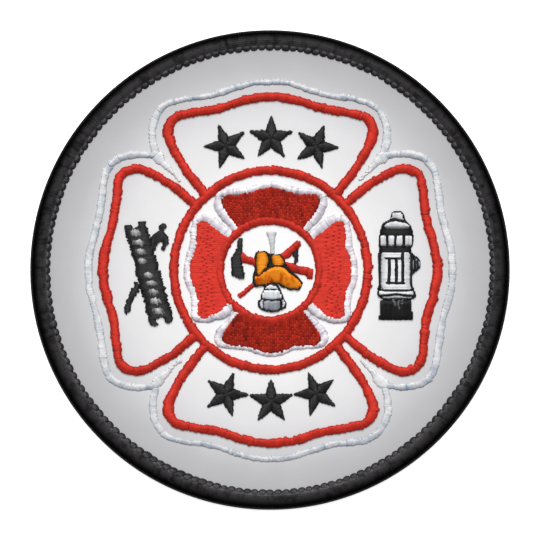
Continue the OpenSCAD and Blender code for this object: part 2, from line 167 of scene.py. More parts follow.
def radial_ramp(tree: Tree, place: Node, rings: Rings) -> Node:
    """Adds a colour that depends on the distance from the middle of the patch.

    Args:
        tree: The node tree.
        place: The texture coordinate node.
        rings: The colours.

    Returns:
        The ramp node.
    """
    inner, outer = rings[0][0], rings[-1][0]
    flat = add_node(tree, "VectorMath", {"operation": "MULTIPLY", 1: (1, 1, 0)}, {0: (place, "Object")})
    length = add_node(tree, "VectorMath", {"operation": "LENGTH"}, {0: (flat, 0)})
    share = add_node(tree, "MapRange", {1: inner * MM, 2: outer * MM}, {0: (length, "Value")})
    ramp = add_node(tree, "ValToRGB", links={0: (share, 0)})
    stops = ramp.color_ramp.elements
    while len(stops) < len(rings):
        stops.new(0.5)
    for stop, (radius, colour) in zip(stops, rings):
        stop.position = (radius - inner) / (outer - inner)
        stop.color = linear(colour)
    return ramp


@dataclass(frozen=True)
class ThreadFinish:
    """Rayon embroidery thread. Its smooth filaments throw light back in their own colour, in a fan across it.

    A share of metallic gives the colour, and anisotropy the fan, which makes stitches that run left and right
    brighter than those that run up and down. A fine twist shows close up.
    """

    name: str
    slot: str
    # Colours of a stitch in full light, and in painted shade where its neighbours shade it
    colour: str
    deep: str
    # Share of the light that comes back in the thread's colour, as from metal
    gleam: float = 0.45
    roughness: float = 0.6
    anisotropy: float = 0.88
    specular: float = 0.2
    # Number of plies, length of their turn, and depth of the groove between them
    plies: int = 2
    twist: float = 0.55
    relief: float = 0.006
    # Size of the soft patches where the light falls differently, and how far they change the shade
    patch: float = 1.3
    mottle: float = 0.2

    def depth(self, tree: Tree, place: Node) -> Node:
        """Adds the share of the deep colour, which differs from stitch to stitch and in soft patches.

        Args:
            tree: The node tree.
            place: The texture coordinate node.

        Returns:
            The node that gives the share.
        """
        scale = 1 / (self.patch * MM)
        noise = add_node(tree, "TexNoise", {"Scale": scale, "Detail": 1.5}, {0: (place, "Object")})
        span = {1: 0.35, 2: 0.65, 3: -self.mottle, 4: self.mottle}
        patches = add_node(tree, "MapRange", span, {0: (noise, 0)})
        tone = add_node(tree, "Attribute", {"attribute_name": "tone"})
        return add_node(tree, "Math", {"operation": "ADD"}, {0: (tone, "Fac"), 1: (patches, 0)})

    def shade(self, tree: Tree) -> tuple[Node, str | int]:
        """Mixes the thread's two colours.

        Args:
            tree: The node tree.

        Returns:
            The node and output that give the colour.
        """
        share = self.depth(tree, add_node(tree, "TexCoord"))
        colours = {"data_type": "RGBA", 6: linear(self.colour), 7: linear(self.deep)}
        return add_node(tree, "Mix", colours, {0: (share, 0)}), 2

    def material(self) -> bpy.types.Material:
        """Builds the thread's material.

        Returns:
            The material.
        """
        material, tree = new_material(self.name)
        place = add_node(tree, "UVMap", {"uv_map": "thread"})
        parts = add_node(tree, "SeparateXYZ", links={0: (place, 0)})
        coil = {"operation": "MULTIPLY_ADD", 1: 1 / self.twist}
        turns = add_node(tree, "Math", coil, {0: (parts, 0), 2: (parts, 1)})
        wave = {"operation": "MULTIPLY", 1: self.plies * 2 * math.pi}
        angle = add_node(tree, "Math", wave, {0: (turns, 0)})
        ridge = add_node(tree, "Math", {"operation": "SINE"}, {0: (angle, 0)})
        bump = add_node(tree, "Bump", {"Strength": 1.0, "Distance": self.relief * MM}, {"Height": (ridge, 0)})
        fibres = add_node(tree, "Tangent", {"direction_type": "UV_MAP", "uv_map": "thread"})
        settings = {
            "Metallic": self.gleam,
            "Roughness": self.roughness,
            "Specular IOR Level": self.specular,
            "Anisotropic": self.anisotropy,
            # A quarter turn points the fan across the filaments.
            "Anisotropic Rotation": 0.25,
        }
        links = {"Base Color": self.shade(tree), "Normal": (bump, 0), "Tangent": (fibres, 0)}
        end_tree(tree, settings, links)
        return material


@dataclass(frozen=True)
class BorderThreadFinish(ThreadFinish):
    """Heavy spun overlock thread, dyed black, with a painted highlight on the knots near the inner edge and
    painted shade that turns black at the rim.
    """

    rings: Rings = ()

    def shade(self, tree: Tree) -> tuple[Node, str | int]:
        """Mixes the thread's colour from the inner edge to the rim, which holds its painted highlight and
        shade, and from stitch to stitch.

        Args:
            tree: The node tree.

        Returns:
            The node and output that give the colour.
        """
        place = add_node(tree, "TexCoord")
        colours = {"data_type": "RGBA", "blend_type": "MULTIPLY", 7: linear(self.deep)}
        parts = {0: (self.depth(tree, place), 0), 6: (radial_ramp(tree, place, self.rings), 0)}
        return add_node(tree, "Mix", colours, parts), 2


@dataclass(frozen=True)
class TwillFinish:
    """Polyester twill, white in the middle and darkened to silver grey at the rim by painted shade: matt,
    with a faint rib.
    """

    name: str
    slot: str
    rings: Rings
    # Spacing of the ribs and of the yarns along them, both coarser than in a real twill so that they show
    rib: float = 0.34
    yarn: float = 0.22
    relief: float = 0.018
    # Size of the faint random clouds in its tone, and the brightness of the darkest and the lightest
    cloud: float = 6.0
    darkest: float = 0.975
    lightest: float = 1.015

    def material(self) -> bpy.types.Material:
        """Builds the cloth's material.

        Returns:
            The material.
        """
        material, tree = new_material(self.name)
        place = add_node(tree, "TexCoord")
        # The rings paint shade that darkens the cloth from the middle to the rim.
        ramp = radial_ramp(tree, place, self.rings)
        mist = {"Scale": 1 / (self.cloud * MM), "Detail": 3.0, "Roughness": 0.6}
        smudge = add_node(tree, "TexNoise", mist, {0: (place, "Object")})
        span = {1: 0.3, 2: 0.7, 3: self.darkest, 4: self.lightest}
        tint = add_node(tree, "MapRange", span, {0: (smudge, 0)})
        colour = add_node(tree, "VectorMath", {"operation": "SCALE"}, {0: (ramp, 0), "Scale": (tint, 0)})
        ribs = self.stripes(tree, place, math.radians(45), self.rib)
        yarns = self.stripes(tree, place, 0.0, self.yarn)
        half = {"operation": "MULTIPLY_ADD", 1: 0.5}
        weave = add_node(tree, "Math", half, {0: (yarns, "Fac"), 2: (ribs, "Fac")})
        bump = add_node(tree, "Bump", {"Strength": 0.6, "Distance": self.relief * MM}, {"Height": (weave, 0)})
        settings = {"Roughness": 0.85, "Specular IOR Level": 0.2, "Sheen Weight": 0.1}
        end_tree(tree, settings, {"Base Color": (colour, 0), "Normal": (bump, 0)})
        return material

    @staticmethod
    def stripes(tree: Tree, place: Node, turn: float, spacing: float) -> Node:
        """Adds the height of parallel yarns.

        Args:
            tree: The node tree.
            place: The texture coordinate node.
            turn: The stripes' turn in the plane of the cloth.
            spacing: Distance between two yarns.

        Returns:
            The wave node.
        """
        turned = add_node(tree, "Mapping", {"Rotation": (0, 0, turn)}, {0: (place, "Object")})
        # A wave texture repeats every 2 pi / 20 of a unit at a scale of one.
        return add_node(tree, "TexWave", {"Scale": math.pi / 10 / (spacing * MM)}, {0: (turned, 0)})


@dataclass(frozen=True)
class PaperFinish:
    """White paper on a light table: matt, with hardly any grain, and bright enough to show no shadow."""

    name: str
    colour: str
    glow: float
    # Size and height of the paper's grain
    grain: float = 2.0
    relief: float = 0.01

    def material(self) -> bpy.types.Material:
        """Builds the paper's material.

        Returns:
            The material.
        """
        material, tree = new_material(self.name)
        place = add_node(tree, "TexCoord")
        grain = add_node(tree, "TexNoise", {"Scale": 1 / (self.grain * MM)}, {0: (place, "Object")})
        bump = add_node(tree, "Bump", {"Strength": 0.1, "Distance": self.relief * MM}, {"Height": (grain, 0)})
        settings = {
            "Base Color": linear(self.colour),
            "Roughness": 0.9,
            "Specular IOR Level": 0.1,
            "Emission Color": linear("ffffff"),
            "Emission Strength": self.glow,
        }
        end_tree(tree, settings, {"Normal": (bump, 0)})
        return material


# Signal red rayon in long satin stitches: clear red in the light, brick red in the painted shade between the
# stitches
RED = ThreadFinish("red rayon thread", "red_thread", "c83327", "a0281e")
# The same thread in short fill stitches, a darker copy with painted shade for the upright panels: deep red,
# nearly brown in the holes
SHADED_PANEL_RED = ThreadFinish("deep red rayon thread", "red_thread", "bc3020", "741a11")
# Undyed white rayon has a lower gloss than dyed, and its painted shade is blue grey
WHITE = ThreadFinish("white rayon thread", "white_thread", "d4d3d4", "8494a6", gleam=0.25)
# White rayon that lies tight and flat: hardly any shade, so it reads as an even off-white
PALE = ThreadFinish("pale white rayon thread", "white_thread", "dadadc", "b8bcc2", gleam=0.25)
# Optically bleached white rayon: nearly pure white, with violet grey painted shade in the folds
BRIGHT_WHITE = ThreadFinish("bleached white rayon thread", "white_thread", "ece8ec", "968f9f", gleam=0.22)
# Greys of the small pictures, from light to dark: each is a flat, even tone with a soft silk gloss
GREY = ThreadFinish("light grey rayon thread", "grey_thread", "dedee2", "c4c5ca", gleam=0.25)
ASH = ThreadFinish("ash grey rayon thread", "grey_thread", "c6c7cb", "a9aaaf", gleam=0.25)
STEEL = ThreadFinish("steel grey rayon thread", "grey_thread", "9b9fa8", "7a7e88", gleam=0.3)
DULL = ThreadFinish("dark grey rayon thread", "grey_thread", "6e6e70", "565658", gleam=0.3)
# Silver grey rayon that paints the highlights on the ladder's black rungs: bright in their middle, painted
# shade almost black at their sides
GLINT = ThreadFinish("silver grey rayon thread", "grey_thread", "b6b6b8", "48484a", gleam=0.3)
# Orange rayon: warm and even, a little browner in the painted shade between the stitches
ORANGE = ThreadFinish("orange rayon thread", "orange_thread", "dc8b1f", "cb7512")
# Orange rayon where long flat stitches catch the light in blotches, from golden to burnt orange
BURNT_ORANGE = ThreadFinish("burnt orange rayon thread", "orange_thread", "e88c1c", "bc4a0a", mottle=0.6)
# Black rayon with a silk gloss: charcoal where the light runs along the stitches
BLACK = ThreadFinish("black rayon thread", "black_thread", "373637", "232223", gleam=0.65)
# Black rayon in lines as thin as drawn ones: too narrow to catch light, so it stays inky
INK = ThreadFinish("matt black rayon thread", "black_thread", "2a292a", "1a191a", gleam=0.6)
# Black overlock thread: the rings paint a highlight near the inner edge, and painted shade that darkens to
# black at the rim
BORDER = BorderThreadFinish(
    "black overlock thread", "border_thread", "363435", "6c6a6b", gleam=0.6, roughness=0.55, anisotropy=0.0,
    specular=0.0, twist=0.8, relief=0.01, patch=1.6, mottle=0.45, rings=(
        (46.5, "2c2b2c"), (47.1, "3f3e3f"), (47.5, "4e4c4e"), (48.0, "363436"), (49.0, "2f2e2f"),
        (49.5, "212021"), (49.9, "0d0d0d"), (50.2, "020202"),
    )
)
# Twill: matt, white in the middle, with painted shade that darkens it to silver at the rim, so that the patch
# looks slightly domed
CLOTH = TwillFinish(
    "silver polyester twill", "cloth", (
        (0.0, "e9e9ea"), (18.0, "e4e4e5"), (25.0, "dadadb"), (32.0, "d3d2d4"), (38.0, "c1c1c4"),
        (43.0, "b0b0b3"), (49.5, "a2a2a5"),
    )
)
# Paper lit from below: pure white round the patch
PAPER = PaperFinish("white light table", "f0f0f0", 0.7)


# Threads


class Lie(Enum):
    """How squarely a thread arches between its two needle holes: the exponent of the arch's curve."""

    ROUND = 2.2
    SATIN = 3.2
    FLAT = 6.0


@dataclass(frozen=True)
class Strand:
    """One thread's size and shade."""

    width: float = THREAD_WIDTH
    thickness: float = THREAD_THICKNESS
    # From 0, in full light, to 1, in deep shade, and drawn at random where none is given
    tone: float | None = None
    # How much deeper its painted shade is at its end than at its middle
    fade: float = 0.0


LOOSE_STRAND = Strand()
BACK_STRAND = Strand(tone=0.4)
# Mean of the random shades
MEAN_TONE = 0.3


@dataclass(frozen=True)
class Template:
    """A closed tube whose points are mapped onto every thread of a skein."""

    # Each point's ring, and its place in the cross-section
    ring: np.ndarray
    across: np.ndarray
    up: np.ndarray
    # Points of all faces, how many each face has, and their place round the tube, as a share of a turn
    corners: np.ndarray
    counts: np.ndarray
    around: np.ndarray


@lru_cache(maxsize=None)
def thread_template(segments: int, sides: int = 6) -> Template:
    """Makes the tube that every thread of a skein is shaped from.

    Args:
        segments: Segments along the tube.
        sides: Sides of its cross-section.

    Returns:
        The tube's points and faces.
    """
    bm = bmesh.new()
    # The turn lays one side flat on top.
    turn = Matrix.Rotation(math.pi / sides, 4, "Z")
    bmesh.ops.create_cone(bm, cap_ends=True, segments=sides, radius1=1, radius2=1, depth=1, matrix=turn)
    long_edges = [e for e in bm.edges if abs(e.verts[0].co.z - e.verts[1].co.z) > 0.5]
    bmesh.ops.subdivide_edges(bm, edges=long_edges, cuts=segments - 1)
    bmesh.ops.recalc_face_normals(bm, faces=bm.faces)
    bm.verts.index_update()
    points = np.array([v.co for v in bm.verts])
    corners, counts, around = [], [], []
    for face in bm.faces:
        turns = [math.atan2(v.co.y, v.co.x) / (2 * math.pi) % 1 for v in face.verts]
        wraps = max(turns) - min(turns) > 0.5
        corners += [v.index for v in face.verts]
        counts.append(len(face.verts))
        around += [turn + 1 if wraps and turn < 0.5 else turn for turn in turns]
    bm.free()
    ring = np.rint((points[:, 2] + 0.5) * segments).astype(int)
    return Template(ring, points[:, 0], points[:, 1], np.array(corners), np.array(counts), np.array(around))


def unit(vectors: np.ndarray) -> np.ndarray:
    """Scales vectors along the last axis to length one."""
    return vectors / np.maximum(np.linalg.norm(vectors, axis=-1, keepdims=True), 1e-12)


@dataclass
class Skein:
    """Threads of one colour that end up in one mesh, which has the skein's name."""

    name: str
    finish: ThreadFinish
    # Segments along each thread, and its width at its ends over its width
    segments: int = 6
    taper: float = 0.8
    # How much the random shades differ, and the threads that lie in shadow: how many, and how much deeper
    ruffle: float = 0.15
    shadows: float = 0.06
    shadow: float = 0.5
    lines: list[np.ndarray] = field(default_factory=list)
    ups: list[np.ndarray] = field(default_factory=list)
    sizes: list[tuple[float, float, float, float]] = field(default_factory=list)

    def __post_init__(self) -> None:
        """Seeds the skein's random numbers with its name."""
        self.random = np.random.default_rng(zlib.crc32(self.name.encode()))

    def lay(self, line: np.ndarray, up: np.ndarray, strand: Strand) -> None:
        """Lays one thread.

        Args:
            line: Its centre line, one point for each ring of the tube.
            up: The direction that its flat side faces, one for all rings or one for each.
            strand: Its size and shade.
        """
        tone = strand.tone
        if tone is None:
            shadow = self.shadow * (self.random.random() < self.shadows)
            tone = float(np.clip(self.random.normal(MEAN_TONE, self.ruffle) + shadow, 0, 1))
        self.lines.append(line)
        self.ups.append(np.broadcast_to(up, line.shape))
        self.sizes.append((strand.width / 2, strand.thickness / 2, tone, strand.fade))

    def stitch(
        self,
        start: np.ndarray,
        end: np.ndarray,
        base: float,
        top: float,
        lie: Lie = Lie.SATIN,
        strand: Strand = LOOSE_STRAND,
    ) -> None:
        """Lays one stitch that arches from hole to hole.

        Args:
            start: Plan position of its first hole.
            end: Plan position of its last hole.
            base: Height of the holes.
            top: Height of the stitch's upper side at its middle.
            lie: How squarely it arches.
            strand: Its thread.
        """
        share = -np.cos(np.linspace(0, math.pi, self.segments + 1))
        arch = (1 - np.abs(share) ** lie.value) ** (1 / lie.value)
        middle, half = (start + end) / 2, (end - start) / 2
        plan = middle + share[:, None] * half
        height = base + (top - strand.thickness / 2 - base) * arch
        up = np.array([0.0, 0.0, 1.0 if top > base else -1.0])
        self.lay(np.column_stack([plan, height]), up, strand)

    def under(self, start: np.ndarray, end: np.ndarray, strand: Strand = BACK_STRAND) -> None:
        """Lays the back of a stitch along the back of the cloth.

        Args:
            start: Plan position of its first hole.
            end: Plan position of its last hole.
            strand: Its thread.
        """
        self.stitch(start, end, BACK_HOLE, BACK_STITCH, Lie.FLAT, strand)

    def build(self, *nodes: str) -> None:
        """Joins the threads into one piece.

        Args:
            nodes: The CAD nodes that the piece stands for.
        """
        tube = thread_template(self.segments)
        lines, ups, sizes = np.stack(self.lines), np.stack(self.ups), np.array(self.sizes)
        along = unit(np.gradient(lines, axis=1))
        side = unit(np.cross(ups, along))
        rise = np.cross(along, side)
        taper = np.ones(self.segments + 1)
        taper[[0, -1]] = self.taper
        across = (tube.across * taper[tube.ring])[None, :, None] * sizes[:, 0, None, None]
        lift = (tube.up * taper[tube.ring])[None, :, None] * sizes[:, 1, None, None]
        points = lines[:, tube.ring] + side[:, tube.ring] * across + rise[:, tube.ring] * lift
        steps = np.linalg.norm(np.diff(lines, axis=1), axis=2)
        run = np.concatenate([np.zeros((len(lines), 1)), np.cumsum(steps, axis=1)], axis=1)
        threads, size = points.shape[:2]
        corners = (tube.corners[None] + size * np.arange(threads)[:, None]).ravel()
        counts = np.tile(tube.counts, threads)
        mesh = bpy.data.meshes.new(self.name)
        mesh.vertices.add(threads * size)
        mesh.vertices.foreach_set("co", (points * MM).astype(np.float32).ravel())
        mesh.loops.add(len(corners))
        mesh.loops.foreach_set("vertex_index", corners.astype(np.int32))
        mesh.polygons.add(len(counts))
        mesh.polygons.foreach_set("loop_start", (np.cumsum(counts) - counts).astype(np.int32))
        mesh.polygons.foreach_set("use_smooth", np.ones(len(counts), bool))
        twist = np.stack([run[:, tube.ring[tube.corners]], np.tile(tube.around, (threads, 1))], axis=-1)
        mesh.uv_layers.new(name="thread").data.foreach_set("uv", twist.astype(np.float32).ravel())
        tones = mesh.attributes.new("tone", "FLOAT", "POINT")
        shades = np.clip(sizes[:, 2:3] + sizes[:, 3:4] * (2 * tube.ring / self.segments - 1), 0, 1)
        tones.data.foreach_set("value", shades.astype(np.float32).ravel())
        mesh.update(calc_edges=True)
        mesh.validate()
        dress(mesh, self.finish, *nodes)


MATERIALS: dict[str, bpy.types.Material] = {}


def dress(mesh: bpy.types.Mesh, finish: ThreadFinish | TwillFinish, *nodes: str) -> bpy.types.Object:
    """Turns a mesh into a finished piece on the patch.

    Args:
        mesh: The finished mesh, which has the piece's name.
        finish: Its finish.
        nodes: The CAD nodes that it stands for.

    Returns:
        The piece.
    """
    piece = bpy.data.objects.new(mesh.name, mesh)
    bpy.context.scene.collection.objects.link(piece)
    if finish.name not in MATERIALS:
        MATERIALS[finish.name] = finish.material()
    mesh.materials.append(MATERIALS[finish.name])
    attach(piece, "root")
    if nodes:
        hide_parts(*nodes)
    LOG.info("%s: %d faces, stands for %s", piece.name, len(mesh.polygons), ", ".join(nodes) or "no node")
    return piece


# Satin columns


def curve(rows: Rows, steps: int = 6) -> np.ndarray:
    """Runs a smooth curve through rows of numbers, as part.scad does.

    Args:
        rows: The rows that the curve passes through.
        steps: Steps for each span.

    Returns:
        The curve's rows.
    """
    table = np.array(rows, float)
    padded = np.vstack([table[:1], table, table[-1:]])
    t = np.linspace(0, 1, steps, endpoint=False)[:, None]
    spans = []
    for before, start, end, after in zip(padded, padded[1:], padded[2:], padded[3:]):
        square = 2 * before - 5 * start + 4 * end - after
        cube = 3 * start - before - 3 * end + after
        spans.append(0.5 * (2 * start + (end - before) * t + square * t**2 + cube * t**3))
    return np.vstack([*spans, table[-1:]])


def both_halves(left: Rows, right: Rows) -> Rows:
    """Joins tables of an outline's left and right halves, which end on the middle line."""
    return [(-x, *rest) for x, *rest in left] + list(right[-2::-1])


def drift(random: np.random.Generator, count: int, spread: float, smooth: bool = False) -> np.ndarray:
    """Draws values that stay alike for a few stitches in a row.

    Args:
        random: The source of the values.
        count: Number of stitches.
        spread: Standard deviation of the values.
        smooth: Whether they change slowly instead of in steps.

    Returns:
        One value for each stitch.
    """
    if not smooth:
        return np.repeat(random.normal(0, spread, count), random.integers(2, 6, count))[:count]
    stitches = 4
    knots = random.normal(0, spread, count // stitches + 2)
    return np.interp(np.arange(count) / stitches, np.arange(len(knots)), knots)


@dataclass
class SatinColumn:
    """Close zigzag stitches across a line, domed by the padding below them."""

    rows: np.ndarray
    height: float
    closed: bool = False
    pitch: float = THREAD_PITCH
    # How far the needle strays: for a run of stitches, and for each stitch
    stray: float = 0.06
    wobble: float = 0.09
    # Whether it strays slowly instead of in steps
    smooth: bool = False
    # How far it strays outwards along the right edge
    fray: float = 0.0
    # How much the shade differs: for a run of stitches, and for each stitch
    patches: float = 0.13
    ruffle: float = 0.1
    # Share of the stitches that lie in shadow, and how much deeper their shade is
    shadows: float = 0.05
    shadow: float = 0.3
    # Painted shade: how much deeper the tone is of stitches that lie up and down the picture
    flop: float = 0.0
    # Painted shade: how much deeper the tone is at their lower end in the picture than at their middle
    fade: float = 0.0
    # Height of the shortest stitches, how much it grows with the length, and the height that all reach
    foot: float = 0.14
    rise: float = 0.2
    lowest: float = 0.0
    # How uneven the height is: for a run of stitches, and for each stitch
    swell: float = 0.012
    lift: float = 0.006
    # How far the column runs on under its neighbour at each end
    run_on: float = 0.0
    lie: Lie = Lie.SATIN
    # How much lower stitches are that lie across the picture. Above 0 they are flatter, too.
    level: float = 0.0

    def holes(self, random: np.random.Generator) -> tuple[np.ndarray, np.ndarray]:
        """Finds the needle holes along both edges.

        Args:
            random: The source of the needle's strays.

        Returns:
            The holes on the left and on the right.
        """
        ends = np.vstack([self.rows, self.rows[:1]]) if self.closed else self.extended()
        run = np.concatenate([[0], np.cumsum(np.linalg.norm(np.diff(ends[:, :2], axis=0), axis=1))])
        count = max(2, round(run[-1] / self.pitch))
        at = np.linspace(0, run[-1], count, endpoint=not self.closed)
        x, y, width = (np.interp(at, run, ends[:, k]) for k in range(3))
        ahead, behind = at + self.pitch / 2, at - self.pitch / 2
        if self.closed:
            ahead, behind = ahead % run[-1], behind % run[-1]
        steps = [np.interp(ahead, run, ends[:, k]) - np.interp(behind, run, ends[:, k]) for k in (0, 1)]
        heading = unit(np.column_stack(steps))
        normal = np.column_stack([-heading[:, 1], heading[:, 0]])
        middle = np.column_stack([x, y])
        sides = []
        for sign in (1, -1):
            half = width / 2 + drift(random, count, self.stray, self.smooth)
            half += random.normal(0, self.wobble, count)
            if sign < 0:
                half += self.fray * np.abs(random.normal(0, 1, count))
            # The needle moves on by half a stitch between the two edges.
            slip = sign * self.pitch / 4
            sides.append(middle + sign * normal * half[:, None] + heading * slip)
        return sides[0], sides[1]

    def extended(self) -> np.ndarray:
        """Adds a row at each end where the column runs on.

        Returns:
            The rows.
        """
        if not self.run_on:
            return self.rows
        first, last = self.rows[0].copy(), self.rows[-1].copy()
        first[:2] -= self.run_on * unit(self.rows[1, :2] - self.rows[0, :2])
        last[:2] += self.run_on * unit(self.rows[-1, :2] - self.rows[-2, :2])
        return np.vstack([first, self.rows, last])

    def sew(self, skein: Skein) -> tuple[np.ndarray, np.ndarray]:
        """Sews the column's face.

        Args:
            skein: The skein that the stitches join.

        Returns:
            The holes on the left and on the right.
        """
        random = skein.random
        left, right = self.holes(random)
        count = len(left)
        lengths = np.linalg.norm(right - left, axis=1)
        domes = np.clip(self.foot + self.rise * lengths, self.lowest, self.height)
        tops = STITCH_BASE + domes + drift(random, count, self.swell) + random.normal(0, self.lift, count)
        shadows = self.shadow * (random.random(count) < self.shadows)
        strays = drift(random, count, self.patches) + random.normal(0, self.ruffle, count)
        climbs = (left[:, 1] - right[:, 1]) / np.maximum(lengths, 0.01)
        tones = np.clip(MEAN_TONE + self.flop * (np.abs(climbs) - 0.5) + strays + shadows, 0, 1)
        for start, end, top, tone, climb in zip(left, right, tops, tones, climbs):
            level = self.level > 0 and abs(end[0] - start[0]) > abs(end[1] - start[1])
            strand = Strand(tone=float(tone), fade=float(self.fade * climb))
            lie = Lie.FLAT if level else self.lie
            skein.stitch(start, end, FACE_HOLE, top - self.level * level, lie, strand)
        return left, right


# Shapes that CAD nodes give


@dataclass
class NodeShape:
    """The outline of a CAD node, found by passing lines through its walls."""

    node: str
    # How far behind a wall the search for the next one starts
    skip: float = 0.002

    def __post_init__(self) -> None:
        """Reads the node's walls."""
        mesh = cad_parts[self.node].data
        faces = [tuple(face.vertices) for face in mesh.polygons]
        self.tree = BVHTree.FromPolygons([v.co for v in mesh.vertices], faces)
        low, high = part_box(self.node)
        self.middle = (low + high) / 2
        self.reach = (high - low).length

    def lines(self, turn: float, pitch: float, shift: float = 0) -> list[tuple[np.ndarray, np.ndarray, int]]:
        """Cuts the shape into parallel lines.

        Args:
            turn: Direction of the lines in degrees from +X.
            pitch: Distance between two lines.
            shift: Sideways shift of all lines.

        Returns:
            Start, end and number of each line's pieces inside the shape.
        """
        angle = math.radians(turn)
        heading = Vector((math.cos(angle), math.sin(angle), 0))
        aside = Vector((-heading.y, heading.x, 0))
        found = []
        count = math.ceil(self.reach / 2 / (pitch * MM))
        for i in range(-count, count + 1):
            origin = self.middle + aside * ((i * pitch + shift) * MM) - heading * self.reach
            for start, end in self.crossings(origin, heading):
                points = [origin + heading * far for far in (start, end)]
                found.append((*(np.array(p[:2]) / MM for p in points), i))
        return found

    def crossings(self, origin: Vector, heading: Vector) -> list[tuple[float, float]]:
        """Finds where a line is inside the shape.

        Args:
            origin: The line's start, outside the shape.
            heading: Its direction.

        Returns:
            Distances at which it enters and leaves.
        """
        hits: list[float] = []
        start = 0.0
        while start < 2 * self.reach:
            place, _, _, far = self.tree.ray_cast(origin + heading * start, heading, 2 * self.reach - start)
            if place is None:
                break
            hits.append(start + far)
            start += far + self.skip * MM
        return list(zip(hits[::2], hits[1::2]))


@dataclass
class SatinShape:
    """A picture's shape that is covered by single stitches from edge to edge."""

    node: str
    finish: ThreadFinish
    turn: float
    height: float = PICTURE_HEIGHT
    # Height of the shortest stitches, how much it grows with the length, and the shortest that is sewn
    foot: float = 0.28
    rise: float = 0.14
    shortest: float = 0.1
    pitch: float = 0.32
    # How far the stitches run on past the outline, and how far the needle strays there
    reach: float = 0.08
    spread: float = 0.05
    # How far an end may be off the outline before the next stitch steps back to it
    hold: float = 0.0
    width: float = 0.6
    lie: Lie = Lie.SATIN

    def build(self) -> None:
        """Sews the shape."""
        skein = Skein(f"{self.node}_stitches", self.finish)
        held = np.full(2, np.inf)
        for start, end, _ in NodeShape(self.node).lines(self.turn, self.pitch, self.pitch / 2):
            length = float(np.linalg.norm(end - start))
            if length < self.shortest:
                continue
            out = (end - start) / length
            ends = np.array([start @ out, end @ out])
            held = np.where(np.abs(ends - held) < self.hold, held, ends)
            strays = skein.random.normal(self.reach, self.spread, 2)
            dome = min(self.height, self.foot + self.rise * length)
            top = STITCH_BASE + dome + skein.random.normal(0, UNEVEN)
            base = start - out * ends[0]
            first, last = base + out * (held[0] - strays[0]), base + out * (held[1] + strays[1])
            skein.stitch(first, last, FACE_HOLE, top, self.lie, Strand(self.width))
            skein.under(first, last, Strand(self.width, tone=BACK_STRAND.tone))
        skein.build(self.node)


@dataclass
class FillPanel:
    """A panel covered by rows of short stitches that are set like bricks, over an underlay of long ones."""

    node: str
    turn: float
    # Distances from the middle of the patch at which the even and the odd rows go through the cloth
    marks: tuple[tuple[float, ...], tuple[float, ...]]
    pitch: float
    # How deep the needle holes are below the face of the rows
    dip: float
    # How far the outer ends of the rows are off the outline
    stray: float
    # The thread's width over the distance between the rows
    spread: float
    finish: ThreadFinish = SHADED_PANEL_RED
    # How far the rows run on under the white border, and under the hub ring
    run_on: float = 0.35
    tuck: float = 0.9
    # The underlay's depth below the face, its width over the distance between the rows, and that on the back
    sink: float = 0.1
    underlay: float = 1.6
    back: float = 1.7
    # Mean shade of the stitches, and how much they differ in it
    tone: float = 0.4
    ruffle: float = 0.18
    # How far a row and a stitch are off their marks, and how uneven the rows are in height
    jitter: float = 0.1
    slip: float = 0.1
    lift: float = 0.012
    # Shortest row that is sewn, and shortest stitch at its ends
    shortest: float = 0.25
    stub: float = 0.3

    def build(self) -> None:
        """Sews the panel."""
        skein = Skein(f"{self.node}_stitches", self.finish)
        shape = NodeShape(self.node)
        top = STITCH_BASE + PANEL_HEIGHT
        strand = Strand(self.underlay * self.pitch, tone=1.0)
        for start, end, _ in shape.lines(self.turn, self.pitch, self.pitch / 2):
            out = self.run_on * unit(end - start)
            skein.stitch(start - out, end + out, FACE_HOLE, top - self.sink, Lie.FLAT, strand)
        for start, end, i in shape.lines(self.turn, self.pitch):
            if float(np.linalg.norm(end - start)) < self.shortest:
                continue
            skein.under(start, end, Strand(self.back * self.pitch, tone=BACK_STRAND.tone))
            row_top = top + skein.random.normal(0, self.lift)
            for first, last in self.split(start, end, i, skein.random):
                tone = float(np.clip(skein.random.normal(self.tone, self.ruffle), 0, 1))
                strand = Strand(self.spread * self.pitch, tone=tone)
                skein.stitch(first, last, row_top - self.dip, row_top, Lie.SATIN, strand)
        skein.build(self.node)

    def split(
        self, start: np.ndarray, end: np.ndarray, i: int, random: np.random.Generator
    ) -> list[tuple[np.ndarray, np.ndarray]]:
        """Divides one row into stitches.

        Args:
            start: The row's start.
            end: The row's end.
            i: The row's number.
            random: The source of the needle's strays.

        Returns:
            First and last point of each stitch.
        """
        out = unit(end - start)
        low, high = float(start @ out), float(end @ out)
        marks = np.array(self.marks[i % 2]) * math.copysign(1, low + high)
        inner = np.sort(marks) + random.normal(0, self.jitter) + random.normal(0, self.slip, len(marks))
        inner = inner[(inner > low + self.stub) & (inner < high - self.stub)]
        edge = self.run_on + random.normal(0, self.stray)
        before, after = (self.tuck, edge) if low + high > 0 else (edge, self.tuck)
        cuts = np.concatenate([[low - before], inner, [high + after]])
        base = start - out * low
        return [(base + out * a, base + out * b) for a, b in zip(cuts, cuts[1:])]


# Rings, arms and the inner cross


@dataclass(frozen=True)
class Arm:
    """One arm of the cross: its turn, whether it is a side arm, and how far its pieces are shifted."""

    name: str
    turn: float
    wide: bool
    red: tuple[float, float]
    white: tuple[float, float]
    inner: tuple[float, float]


ARMS = (
    Arm("top", 0, False, (0.1, 0), (-0.1, 0), (0.15, 0)),
    Arm("left", 90, True, (0, 0), (-0.25, -0.3), (-0.15, -0.1)),
    Arm("bottom", 180, False, (-0.15, 0), (-0.05, 0.2), (-0.3, 0)),
    Arm("right", 270, True, (0, 0), (0.05, -0.1), (0.2, 0.3)),
)

